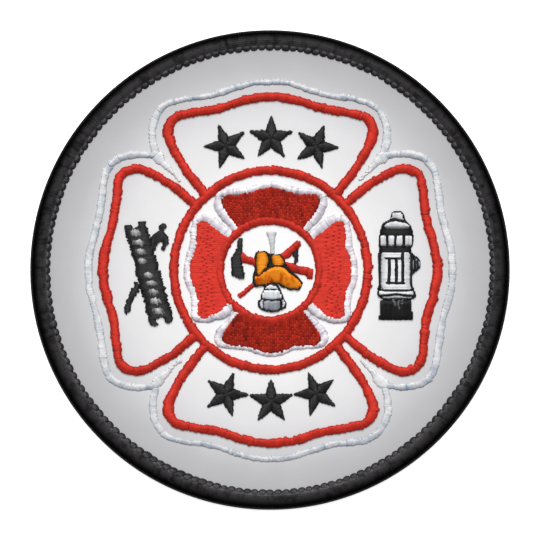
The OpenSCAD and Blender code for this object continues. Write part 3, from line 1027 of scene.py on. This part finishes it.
# Middle lines of the columns, as in part.scad. Columns: across, outwards, width
RED_TALL = [
    (14.5, 16.9, 1.9), (17.6, 20.8, 1.9), (20.6, 25.8, 1.9), (21.8, 29.7, 2.3), (20.1, 32.5, 1.9),
    (16.1, 33.5, 1.8), (10.8, 34.4, 1.8), (6.3, 35.9, 1.8), (2.2, 36.7, 1.8), (0, 36.8, 1.8),
]
RED_WIDE = [
    (14.6, 16.8, 1.9), (18.0, 20.8, 1.8), (20.9, 25.9, 1.8), (21.5, 28.9, 1.9), (20.0, 31.8, 1.9),
    (15.8, 32.6, 1.9), (10.4, 33.3, 1.9), (6.0, 34.6, 2.0), (2.2, 35.4, 2.1), (0, 35.5, 2.1),
]
WHITE_TALL = [
    (24.4, 25.4, 1.5), (24.95, 28.2, 1.7), (24.55, 31.7, 1.6), (22.3, 34.9, 1.4), (18.2, 36.3, 1.2),
    (13.2, 36.9, 1.2), (8.7, 38.3, 1.3), (4.6, 39.55, 1.2), (1.6, 39.95, 1.2), (0, 40.0, 1.2),
]
WHITE_WIDE = [
    (24.45, 25.4, 1.3), (24.8, 28.7, 1.5), (23.75, 32.8, 1.6), (21.0, 35.1, 1.6), (16.9, 35.9, 1.7),
    (12.4, 36.5, 1.7), (8.2, 37.5, 1.6), (4.4, 38.5, 1.6), (1.4, 38.85, 1.6), (0, 38.9, 1.6),
]
# A spur's wide end goes further than in part.scad: its stitches run in between those of the outlines.
SPUR = [
    (0, 27.2, 0.5), (0, 28.3, 0.4), (0, 29.6, 0.7), (0, 31.3, 1.3), (0, 32.9, 2.1), (0, 33.8, 2.5),
    (0, 34.4, 2.1), (0, 34.9, 1.2),
]
EDGE_TOP = [
    (7.63, 9.1, 1.7), (9.5, 11.2, 2.1), (11.0, 13.45, 1.9), (11.25, 15.05, 1.5), (10.1, 16.3, 1.5),
    (5.3, 16.75, 1.5), (3.0, 17.5, 1.5), (0, 18.1, 1.6),
]
EDGE_BOTTOM = [
    (7.45, 9.2, 1.3), (9.3, 11.35, 1.6), (11.0, 13.45, 1.9), (11.2, 14.9, 1.6), (10.0, 16.0, 1.1),
    (5.3, 16.5, 1.0), (3.0, 17.3, 1.0), (0, 17.9, 1.0),
]
EDGE_UPPER = [
    (7.83, 9.05, 1.9), (9.15, 10.75, 2.2), (10.5, 12.55, 2.1), (11.2, 14.0, 1.7), (10.9, 15.6, 1.4),
    (9.4, 16.2, 1.4), (5.2, 16.5, 1.5), (2.6, 17.4, 1.5), (0, 17.65, 1.5),
]
EDGE_LOWER = [
    (7.77, 8.75, 2.0), (9.1, 10.1, 2.1), (9.85, 11.55, 1.4), (10.45, 13.0, 1.1), (10.45, 14.6, 1.0),
    (10.1, 15.8, 1.2), (9.0, 16.15, 1.4), (5.6, 16.2, 1.5), (2.6, 17.3, 1.5), (0, 17.65, 1.5),
]
# Left and right half of the white edge of each panel
EDGES = {
    "top": (EDGE_TOP, EDGE_TOP),
    "left": (EDGE_LOWER, EDGE_UPPER),
    "bottom": (EDGE_BOTTOM, EDGE_BOTTOM),
    "right": (EDGE_UPPER, EDGE_LOWER),
}
NOTCHES = {"nw": 45, "sw": 135, "se": 225, "ne": 315}


def placed(rows: Rows, turn: float, shift: tuple[float, float] = (0, 0)) -> np.ndarray:
    """Runs a curve through an arm's rows, shifts it across and outwards, and turns it to its place.

    Args:
        rows: Rows that start with across and outwards.
        turn: Turn about the middle of the patch in degrees.
        shift: The shift across and outwards.

    Returns:
        The curve's rows in the patch's frame.
    """
    angle = math.radians(turn)
    spin = np.array([[math.cos(angle), math.sin(angle)], [-math.sin(angle), math.cos(angle)]])
    out = curve(rows)
    out[:, :2] = (out[:, :2] + shift) @ spin
    return out


def ellipse(centre: tuple[float, float], rx: float, ry: float, width: float, steps: int = 180) -> np.ndarray:
    """Rows round an ellipse.

    Args:
        centre: Its centre.
        rx: Its half width.
        ry: Its half height.
        width: Width of the column on it.
        steps: Number of rows.

    Returns:
        The rows.
    """
    turn = np.linspace(0, 2 * math.pi, steps, endpoint=False)
    return np.column_stack(
        [centre[0] + rx * np.cos(turn), centre[1] + ry * np.sin(turn), np.full(steps, width)]
    )


@dataclass
class Columns:
    """All satin columns of the patch, on its face and on its back."""

    # Centre, half width, half height and column width of the two rings
    red_ring: tuple[tuple[float, float], float, float, float] = ((0.14, 0), 20.6, 21.15, 1.86)
    hub_ring: tuple[tuple[float, float], float, float, float] = ((-0.05, -0.05), 10.64, 10.64, 1.8)
    # Length of a bobbin stitch over that of the stitch it holds: the least, and how much more it may be
    bobbin: float = 0.34
    bobbin_spread: float = 0.06

    def plan(self) -> list[tuple[str, ThreadFinish, SatinColumn]]:
        """Lists the columns.

        Returns:
            The CAD node, finish and column of each.
        """
        columns = [
            ("red_ring", RED, SatinColumn(ellipse(*self.red_ring), RED_HEIGHT, True)),
            ("hub_ring", RED, SatinColumn(ellipse(*self.hub_ring), RED_HEIGHT, True)),
        ]
        for arm in ARMS:
            red_half = RED_WIDE if arm.wide else RED_TALL
            white_half = WHITE_WIDE if arm.wide else WHITE_TALL
            # Upright white stitches get painted shade towards their lower end, but hardly in the bottom arm.
            shaded = arm.name != "bottom"
            red_rows = placed(both_halves(red_half, red_half), arm.turn, arm.red)
            outline = SatinColumn(
                placed(both_halves(white_half, white_half), arm.turn, arm.white), OUTLINE_HEIGHT, level=0.1,
                stray=0.1, wobble=0.06, smooth=True, patches=0.05, ruffle=0.05, flop=0.2,
                fade=0.38 if shaded else 0.1, run_on=0.3, lie=Lie.ROUND,
            )
            border = SatinColumn(
                placed(both_halves(*EDGES[arm.name]), arm.turn, arm.inner), EDGE_HEIGHT, pitch=0.36,
                stray=0.09, wobble=0.05, smooth=True, fray=0.24 if arm.wide else 0.05, patches=0.05,
                ruffle=0.07, flop=0.25 if shaded else 0.05, fade=0.38 if shaded else 0.05,
                run_on=0.5, lie=Lie.SATIN if arm.wide else Lie.ROUND,
            )
            columns += [
                (f"red_arm_{arm.name}", RED, SatinColumn(red_rows, RED_HEIGHT, run_on=0.9)),
                (f"white_outline_{arm.name}", WHITE, outline),
                (f"white_border_{arm.name}", BRIGHT_WHITE, border),
            ]
        for name, turn in NOTCHES.items():
            rows = placed(SPUR, turn)
            spur = SatinColumn(rows, SPUR_HEIGHT, stray=0.16, wobble=0.08, smooth=True, ruffle=0.12)
            columns.append((f"white_notch_{name}", PALE, spur))
        return columns

    def build(self) -> None:
        """Sews the columns, and the back of each in its own colour with a bobbin thread down the middle."""
        red_back = Skein("back_of_red_columns", RED, 3)
        white_back = Skein("back_of_white_columns", WHITE, 3)
        bobbin = Skein("bobbin_stitches", WHITE, 3)
        for node, finish, column in self.plan():
            skein = Skein(f"{node}_stitches", finish)
            left, right = column.sew(skein)
            skein.build(node)
            back = red_back if finish is RED else white_back
            for start, end in zip(left, right):
                back.under(start, end, LOOSE_STRAND)
                middle, half = (start + end) / 2, (end - start) / 2
                half = half * (self.bobbin + self.bobbin_spread * bobbin.random.random())
                bobbin.stitch(middle - half, middle + half, CLOTH_BACK, BOBBIN_STITCH, Lie.FLAT)
        for back in (red_back, white_back, bobbin):
            back.build()


# Stars


@dataclass
class Stars:
    """Plain five-pointed stars. Each point is a satin wedge that meets the others in the middle."""

    outer: float = 4.9
    waist: float = 0.42
    radius: float = 28.0
    step: float = 20.0
    pitch: float = 0.34
    # First stitch's distance from the middle, and how far the last one stays behind the tip
    first: float = 0.35
    blunt: float = 0.3
    # Height of the shortest stitches, how much it grows with half their length, and half of the shortest
    foot: float = 0.25
    rise: float = 0.2
    shortest: float = 0.12
    # How far the stitches run on past the outline, and how far the needle strays there and along the point
    reach: float = 0.03
    stray: float = 0.06
    wobble: float = 0.03
    # Columns: name, middle of the row of stars, turn of a star against its place
    rows: tuple[tuple[str, float, float], ...] = (("top", 89.5, 0), ("bottom", 270.5, 180))

    def build(self) -> None:
        """Sews both rows of stars."""
        for row, middle, turn in self.rows:
            for i in (1, 2, 3):
                place = math.radians(middle - (i - 2) * self.step * math.cos(math.radians(turn)))
                centre = self.radius * np.array([math.cos(place), math.sin(place)])
                self.sew(f"star_{row}_{i}", centre, place + math.radians(turn))

    def sew(self, node: str, centre: np.ndarray, turn: float) -> None:
        """Sews one star.

        Args:
            node: The CAD node that it stands for.
            centre: Its place.
            turn: Direction of its first point in radians.
        """
        skein = Skein(f"{node}_stitches", BLACK)
        random = skein.random
        inner = self.waist * self.outer
        root = inner * math.cos(math.pi / 5)
        spread = inner * math.sin(math.pi / 5)
        for k in range(5):
            angle = turn + k * 2 * math.pi / 5
            along = np.array([math.cos(angle), math.sin(angle)])
            across = np.array([-along[1], along[0]])
            for far in np.arange(self.first, self.outer - self.blunt, self.pitch):
                half = spread * (far / root if far < root else (self.outer - far) / (self.outer - root))
                half = max(half, self.shortest) + random.normal(self.reach, self.stray)
                middle = centre + along * (far + random.normal(0, self.wobble))
                dome = min(PICTURE_HEIGHT, self.foot + self.rise * half)
                top = STITCH_BASE + dome + random.normal(0, UNEVEN)
                start, end = middle - across * half, middle + across * half
                skein.stitch(start, end, FACE_HOLE, top)
                skein.under(start, end)
        skein.build(node)


# Pictures


PICTURES = (
    SatinShape("helmet_crown_rear", ORANGE, 0),
    SatinShape("helmet_crown_front", ORANGE, 0),
    SatinShape("helmet_brim", BURNT_ORANGE, 70, lie=Lie.FLAT),
    SatinShape("helmet_outline", INK, 10, pitch=0.24, reach=0.04, spread=0.02, width=0.32),
    SatinShape("axe_head", BLACK, 0, pitch=0.28, reach=0.04, spread=0.05, hold=0.24, width=0.5, lie=Lie.FLAT),
    SatinShape("axe_handle_inner", RED, 100),
    SatinShape("axe_handle_outer", RED, 85),
    SatinShape("pike_pole_upper", RED, 130),
    SatinShape("pike_pole_lower", RED, 130),
    SatinShape("pike_hook", BLACK, 0, pitch=0.28, reach=0.04, hold=0.2, width=0.45),
    SatinShape("horn_stem", ASH, 0, height=0.2, reach=0.05, lie=Lie.FLAT),
    SatinShape("horn_neck", GREY, 90, lie=Lie.FLAT),
    SatinShape("horn_waist", GREY, 90, lie=Lie.FLAT),
    SatinShape("horn_bell", STEEL, 90, lie=Lie.FLAT),
    SatinShape("horn_outline", INK, 8, pitch=0.24, reach=0.04, spread=0.02, width=0.32),
    SatinShape("ladder", BLACK, 4, pitch=0.28, reach=0.06, spread=0.12, hold=0.3, width=0.42, lie=Lie.FLAT),
    SatinShape("hook_pole_lower", BLACK, -10, pitch=0.28, reach=0.12, spread=0.1, hold=0.3, width=0.5),
    SatinShape("hook_pole_upper", BLACK, 35, pitch=0.28, reach=0.04, spread=0.1, hold=0.25, width=0.42),
    SatinShape("hydrant_cap", PALE, 90, lie=Lie.FLAT),
    SatinShape("hydrant_bonnet", PALE, 90),
    SatinShape("hydrant_collar", PALE, 90, reach=0.06, lie=Lie.FLAT),
    SatinShape("hydrant_barrel", PALE, 0, reach=0.06, lie=Lie.FLAT),
    SatinShape("hydrant_nozzle", STEEL, 90),
    SatinShape("hydrant_flange", PALE, 90),
    SatinShape("hydrant_base", INK, 90, lie=Lie.FLAT),
    SatinShape("hydrant_outline", INK, 0, pitch=0.24, reach=0.04, spread=0.02, width=0.32),
)


@dataclass
class OverLines:
    """Short satin lines sewn over a finished picture. Columns of a line: x, y, width."""

    name: str
    finish: ThreadFinish
    lines: tuple[tuple[tuple[float, ...], ...], ...]
    height: float = OVER_HEIGHT

    def build(self) -> None:
        """Sews the lines."""
        skein = Skein(self.name, self.finish, 4)
        style = {"pitch": 0.3, "stray": 0.03, "wobble": 0.02, "lowest": self.height, "lie": Lie.FLAT}
        for rows in self.lines:
            SatinColumn(curve(list(rows)), self.height, **style).sew(skein)
        skein.build()


OVER_LINES = (
    OverLines(
        "hydrant_lines",
        INK,
        (
            ((24.9, 5.0, 0.5), (24.9, 7.4, 0.55)),
            ((26.6, 5.0, 0.5), (26.6, 7.4, 0.5)),
            ((28.4, 5.0, 0.55), (28.4, 7.4, 0.6)),
            ((25.25, -2.7, 0.75), (25.35, 2.3, 0.7)),
            ((26.8, -2.7, 0.7), (26.85, 2.3, 0.7)),
            ((28.2, -2.7, 0.7), (28.15, 3.5, 0.7)),
            ((24.9, -2.75, 0.35), (28.4, -2.75, 0.35)),
            ((24.6, 2.45, 0.2), (28.1, 2.45, 0.2)),
            (
                (23.3, -5.45, 0.3), (25.0, -5.35, 0.45), (26.8, -5.15, 0.4), (28.8, -5.35, 0.45),
                (30.4, -5.5, 0.3),
            ),
            ((30.75, 0.3, 0.2), (30.75, 2.3, 0.2)),
            ((31.3, 0.7, 0.25), (31.3, 1.9, 0.25)),
        ),
    ),
    # Dark grey lines: the first is painted shade where the hydrant's bonnet turns from white to black, the
    # others are lighter grey marks on its black base
    OverLines(
        "hydrant_smudges",
        DULL,
        (
            ((24.7, 9.05, 0.25), (26.9, 8.9, 0.45), (29.2, 9.05, 0.25)),
            ((26.2, -6.5, 0.4), (26.5, -7.0, 0.3), (26.6, -7.5, 0.15)),
            ((27.3, -6.6, 0.3), (27.2, -7.4, 0.35), (27.5, -8.1, 0.15)),
            ((28.1, -6.5, 0.25), (28.0, -7.1, 0.15)),
        ),
        height=0.46,
    ),
    OverLines(
        "horn_lobes",
        ASH,
        (
            ((-1.75, -6.6, 0.35), (-1.85, -7.2, 0.75), (-1.7, -7.8, 0.45)),
            ((2.8, -6.6, 0.3), (2.95, -7.1, 0.65), (2.85, -7.6, 0.35)),
        ),
    ),
    OverLines("hook_joint", BLACK, (((-25.3, 3.8, 1.1), (-24.9, 5.3, 1.3), (-24.6, 6.9, 1.2)),), height=0.36),
)


# Middles of the ladder's rungs, where grey stitches paint their highlights. Columns: x, y, width, half height
RUNGS = (
    (-28.5, 7.9, 1.8, 0.8), (-27.9, 5.8, 1.9, 0.8), (-27.5, 3.9, 1.7, 0.7), (-27.1, 1.9, 1.4, 0.6),
    (-25.8, -1.1, 1.4, 0.6), (-25.3, -2.8, 1.7, 0.6), (-24.8, -4.7, 1.7, 0.7), (-24.3, -6.6, 1.6, 0.8),
    (-23.8, -8.7, 1.8, 0.9),
)


@dataclass
class Rungs:
    """The ladder's rungs: fans of thin grey stitches over the black ladder that paint its highlights, bright
    in the middle and painted shade at both sides.
    """

    strands: int = 11
    width: float = 0.3
    height: float = OVER_HEIGHT
    # How far the ladder leans for each millimetre down
    lean: float = 0.26
    # A strand's length over the rung's: in the middle, how much less at the sides, and how ragged it is
    long: float = 1.15
    short: float = 0.45
    ragged: tuple[float, float] = (0.7, 1.4)
    # Half the width of the fan over the rung's, at its top and at its foot
    top: float = 0.48
    foot: float = 0.76
    # Painted shade of the outermost strands, and how much a strand's shade differs
    dark: float = 0.8
    ruffle: float = 0.16

    def build(self) -> None:
        """Sews the rungs."""
        skein = Skein("ladder_rungs", GLINT, 4)
        for x, y, width, half in RUNGS:
            for aside in np.linspace(-1, 1, self.strands):
                far = half * (self.long - self.short * abs(aside)) * skein.random.uniform(*self.ragged)
                start = np.array([x + self.top * width * aside - self.lean * far, y + far])
                end = np.array([x + self.foot * width * aside + self.lean * far, y - far])
                tone = self.dark * abs(aside) ** 0.8 + skein.random.normal(0.05, self.ruffle)
                strand = Strand(self.width, tone=float(np.clip(tone, 0, 1)))
                skein.stitch(start, end, CLOTH_FACE, STITCH_BASE + self.height, Lie.SATIN, strand)
        skein.build()


# Border and cloth


@dataclass
class MerrowedBorder:
    """The overlocked edge: strands that wrap round the rim, and a row of knots that locks them inside."""

    groups: int = 180
    strands: int = 4
    # Wrap of a strand from the face over the rim to the back. Columns: radius, height
    wrap: tuple[tuple[float, float], ...] = (
        (47.05, 1.55), (47.3, 1.8), (47.8, 2.05), (48.5, 2.2), (49.4, 2.1), (50.4, 1.75), (50.98, 1.2),
        (50.4, 0.66), (49.4, 0.34), (48.4, 0.2), (47.4, 0.24), (46.95, 0.5),
    )
    slant: float = 0.012
    # The strands of the wrap and of the knots, and their segments
    wrap_strand: Strand = Strand(0.95, 0.16)
    wrap_segments: int = 12
    knot_strand: Strand = Strand(0.5, 0.22, 0.0)
    knot_segments: int = 8
    # Radius at which a knot starts and from which it reaches inwards, how far it reaches, and its height
    root: float = 47.95
    tip: float = 47.1
    reach: float = 0.4
    rise: float = 0.43
    # Distance between the tips of a knot's strands, and how far the knot leans
    fan: float = 0.26
    lean: float = 0.2
    # How much the knots differ in size and in lean, and the strands of the wrap in place and in shade
    ragged: float = 0.1
    sway: float = 0.14
    stray: float = 0.0012
    ruffle: float = 0.15
    # Where the sewing began and ended it overlaps: the strands lie higher, and the knots lean and grow
    seam: float = math.radians(243)
    seam_spread: float = math.radians(12)
    seam_lift: float = 0.12
    seam_lean: float = 0.75
    seam_growth: float = 0.3
    seam_shift: float = 0.15
    seam_rise: float = 0.08

    def overlap(self, angle: float) -> float:
        """How much of the seam's overlap there is at an angle, from 0 to 1."""
        off = (angle - self.seam + math.pi) % (2 * math.pi) - math.pi
        return math.exp(-((off / self.seam_spread) ** 2))

    def build(self) -> None:
        """Sews the wraps and the knots."""
        self.wraps()
        self.knots()

    def wraps(self) -> None:
        """Sews the strands that wrap round the rim."""
        skein = Skein("merrowed_border_stitches", BORDER, self.wrap_segments)
        profile = curve(self.wrap)
        run = np.concatenate([[0], np.cumsum(np.linalg.norm(np.diff(profile, axis=0), axis=1))])
        at = np.linspace(0, run[-1], self.wrap_segments + 1)
        radius, height = (np.interp(at, run, profile[:, k]) for k in (0, 1))
        tangent = unit(np.gradient(np.column_stack([radius, height]), axis=0))
        share = at / run[-1]
        for i in range(self.groups * self.strands):
            angle = (i + 0.5) / (self.groups * self.strands) * 2 * math.pi
            # Only the face side is lifted, from the height of the rim on.
            lifted = height + np.where(height > 1.2, self.seam_lift * self.overlap(angle), 0)
            turn = angle + self.slant * share + skein.random.normal(0, self.stray)
            spin = np.column_stack([np.cos(turn), np.sin(turn)])
            line = np.column_stack([spin * radius[:, None], lifted])
            up = np.column_stack([-spin * tangent[:, 1:], tangent[:, 0]])
            tone = float(abs(skein.random.normal(0, self.ruffle)))
            skein.lay(line, up, replace(self.wrap_strand, tone=tone))
        skein.build("merrowed_border")

    def knots(self) -> None:
        """Sews the row of knots along the inner edge, each of five strands that fan out and hook over it."""
        skein = Skein("merrowed_border_knots", BORDER, self.knot_segments)
        pitch = 2 * math.pi / self.groups
        share = np.linspace(0, 1, self.knot_segments + 1)
        # Each strand rises steeply, and hooks down over the edge at its tip.
        hook = np.sin(math.pi * (0.2 + 0.8 * share)) ** 0.7
        for group in range(self.groups):
            extra = self.overlap(group * pitch)
            size = 1 + self.seam_growth * extra + skein.random.normal(0, self.ragged)
            skew = self.lean + self.seam_lean * extra + skein.random.normal(0, self.sway)
            start = self.root + self.seam_shift * extra
            for strand in (-2, 2, -1, 1, 0):
                # The tips lie on an arc, and the strands part soon after the root.
                tip = self.tip - self.reach * size * math.sqrt(1 - (strand / 2.6) ** 2)
                aside = self.fan * strand * size * share**0.6 + skew * (share - 0.4)
                radius = start + (tip - start) * share
                turn = group * pitch + aside / radius
                height = CLOTH_FACE + (self.rise * size + self.seam_rise * extra) * hook
                line = np.column_stack([radius * np.cos(turn), radius * np.sin(turn), height])
                skein.lay(line, np.array([0.0, 0.0, 1.0]), self.knot_strand)
        skein.build()


@dataclass
class Ground:
    """The cloth disc, flat between its border and under its stitches."""

    radius: float = 49.4
    rings: int = 62
    spokes: int = 180

    def build(self) -> None:
        """Models the disc."""
        bm = bmesh.new()
        step = self.radius / self.rings
        spoke = [bm.verts.new((i * step * MM, 0, CLOTH_FACE * MM)) for i in range(self.rings + 1)]
        geom = spoke + [bm.edges.new(pair) for pair in zip(spoke, spoke[1:])]
        whole = {"cent": (0, 0, 0), "axis": (0, 0, 1), "angle": 2 * math.pi, "use_merge": True}
        bmesh.ops.spin(bm, geom=geom, steps=self.spokes, **whole)
        bmesh.ops.remove_doubles(bm, verts=bm.verts, dist=0.001 * MM)
        bmesh.ops.recalc_face_normals(bm, faces=bm.faces)
        if sum(f.normal.z for f in bm.faces) < 0:
            bmesh.ops.reverse_faces(bm, faces=bm.faces)
        made = bmesh.ops.extrude_face_region(bm, geom=bm.faces[:])
        lifted = {v for v in made["geom"] if isinstance(v, bmesh.types.BMVert)}
        low = [v for v in bm.verts if v not in lifted]
        bmesh.ops.translate(bm, verts=low, vec=(0, 0, (CLOTH_BACK - CLOTH_FACE) * MM))
        bmesh.ops.recalc_face_normals(bm, faces=bm.faces)
        for face in bm.faces:
            face.smooth = abs(face.normal.z) > 0.5
        mesh = bpy.data.meshes.new("ground_cloth")
        bm.to_mesh(mesh)
        bm.free()
        piece = dress(mesh, CLOTH, "ground")


# Stage


@dataclass
class Studio:
    """White paper, soft light from the top of the picture, and a camera straight above."""

    # Width of the photograph's frame at the face of the cloth
    frame_width: float = 114.78
    lens: float = 100.0
    sensor: float = 36.0
    sky: tuple[float, float, float, float] = (0.95, 0.97, 1.0, 1.0)
    sky_strength: float = 0.38
    sun: tuple[float, float, float] = (1.0, 0.99, 0.97)
    sun_strength: float = 3.7
    # The sun's apparent size, as wide as a softbox, and its lean towards the top of the picture
    sun_angle: float = math.radians(45)
    sun_lean: float = math.radians(42)
    # Radius of the paper, and how far it lies below the patch
    paper_radius: float = 1600.0
    paper_gap: float = 0.02

    def camera(self) -> None:
        """Places the camera."""
        data = bpy.data.cameras.new("camera")
        data.lens = self.lens
        data.sensor_width = self.sensor
        camera = bpy.data.objects.new("camera", data)
        camera.location = (0, 0, (self.frame_width * self.lens / self.sensor + CLOTH_FACE) * MM)
        bpy.context.scene.collection.objects.link(camera)
        bpy.context.scene.camera = camera

    def lights(self) -> None:
        """Sets the sky and the soft light."""
        world = bpy.data.worlds.new("studio")
        world.use_nodes = True
        background = world.node_tree.nodes["Background"]
        background.inputs["Color"].default_value = self.sky
        background.inputs["Strength"].default_value = self.sky_strength
        bpy.context.scene.world = world
        data = bpy.data.lights.new("softbox", "SUN")
        data.energy = self.sun_strength
        data.angle = self.sun_angle
        data.color = self.sun
        lamp = bpy.data.objects.new("softbox", data)
        lamp.rotation_euler = (-self.sun_lean, 0, 0)
        bpy.context.scene.collection.objects.link(lamp)

    def floor(self) -> None:
        """Lays the paper."""
        bm = bmesh.new()
        bmesh.ops.create_circle(bm, cap_ends=True, radius=self.paper_radius * MM, segments=64)
        bmesh.ops.translate(bm, verts=bm.verts, vec=(0, 0, -self.paper_gap * MM))
        mesh = bpy.data.meshes.new("paper")
        bm.to_mesh(mesh)
        bm.free()
        mesh.materials.append(PAPER.material())
        paper = bpy.data.objects.new("paper", mesh)
        bpy.context.scene.collection.objects.link(paper)

    def build(self) -> None:
        """Builds the stage."""
        bpy.context.scene.view_settings.view_transform = "Standard"
        self.camera()
        self.lights()
        self.floor()


# Distances from the middle at which the even and the odd rows of a panel go through the cloth
SIDE_MARKS = ((12.2, 14.6), (13.4,))
TALL_MARKS = ((9.3, 10.7, 12.1, 13.5, 14.9, 16.3), (10.0, 11.4, 12.8, 14.2, 15.6, 17.0))


def panel(arm: Arm) -> FillPanel:
    """Plans the filled panel of an arm.

    Args:
        arm: The arm.

    Returns:
        The panel: nearly smooth rows in a side arm, and short rows with deep holes in the others.
    """
    node = f"red_panel_{arm.name}"
    # Side panels take the lit red and a light mean tone; the upright panels get painted shade from the darker
    # copy and a deeper mean tone.
    if arm.wide:
        smooth = {"finish": RED, "tone": 0.15, "jitter": 0.25}
        return FillPanel(node, 0, SIDE_MARKS, 0.42, dip=0.14, stray=0.12, spread=1.5, **smooth)
    return FillPanel(node, 90, TALL_MARKS, 0.45, dip=0.12, stray=0.16, spread=1.25)


def main() -> None:
    """Builds the whole patch."""
    logging.basicConfig(level=logging.INFO, format="%(name)s: %(message)s")
    Studio().build()
    Ground().build()
    MerrowedBorder().build()
    Columns().build()
    for arm in ARMS:
        panel(arm).build()
    for picture in (*PICTURES, *OVER_LINES):
        picture.build()
    Rungs().build()
    Stars().build()


if __name__ == "__main__":
    main()
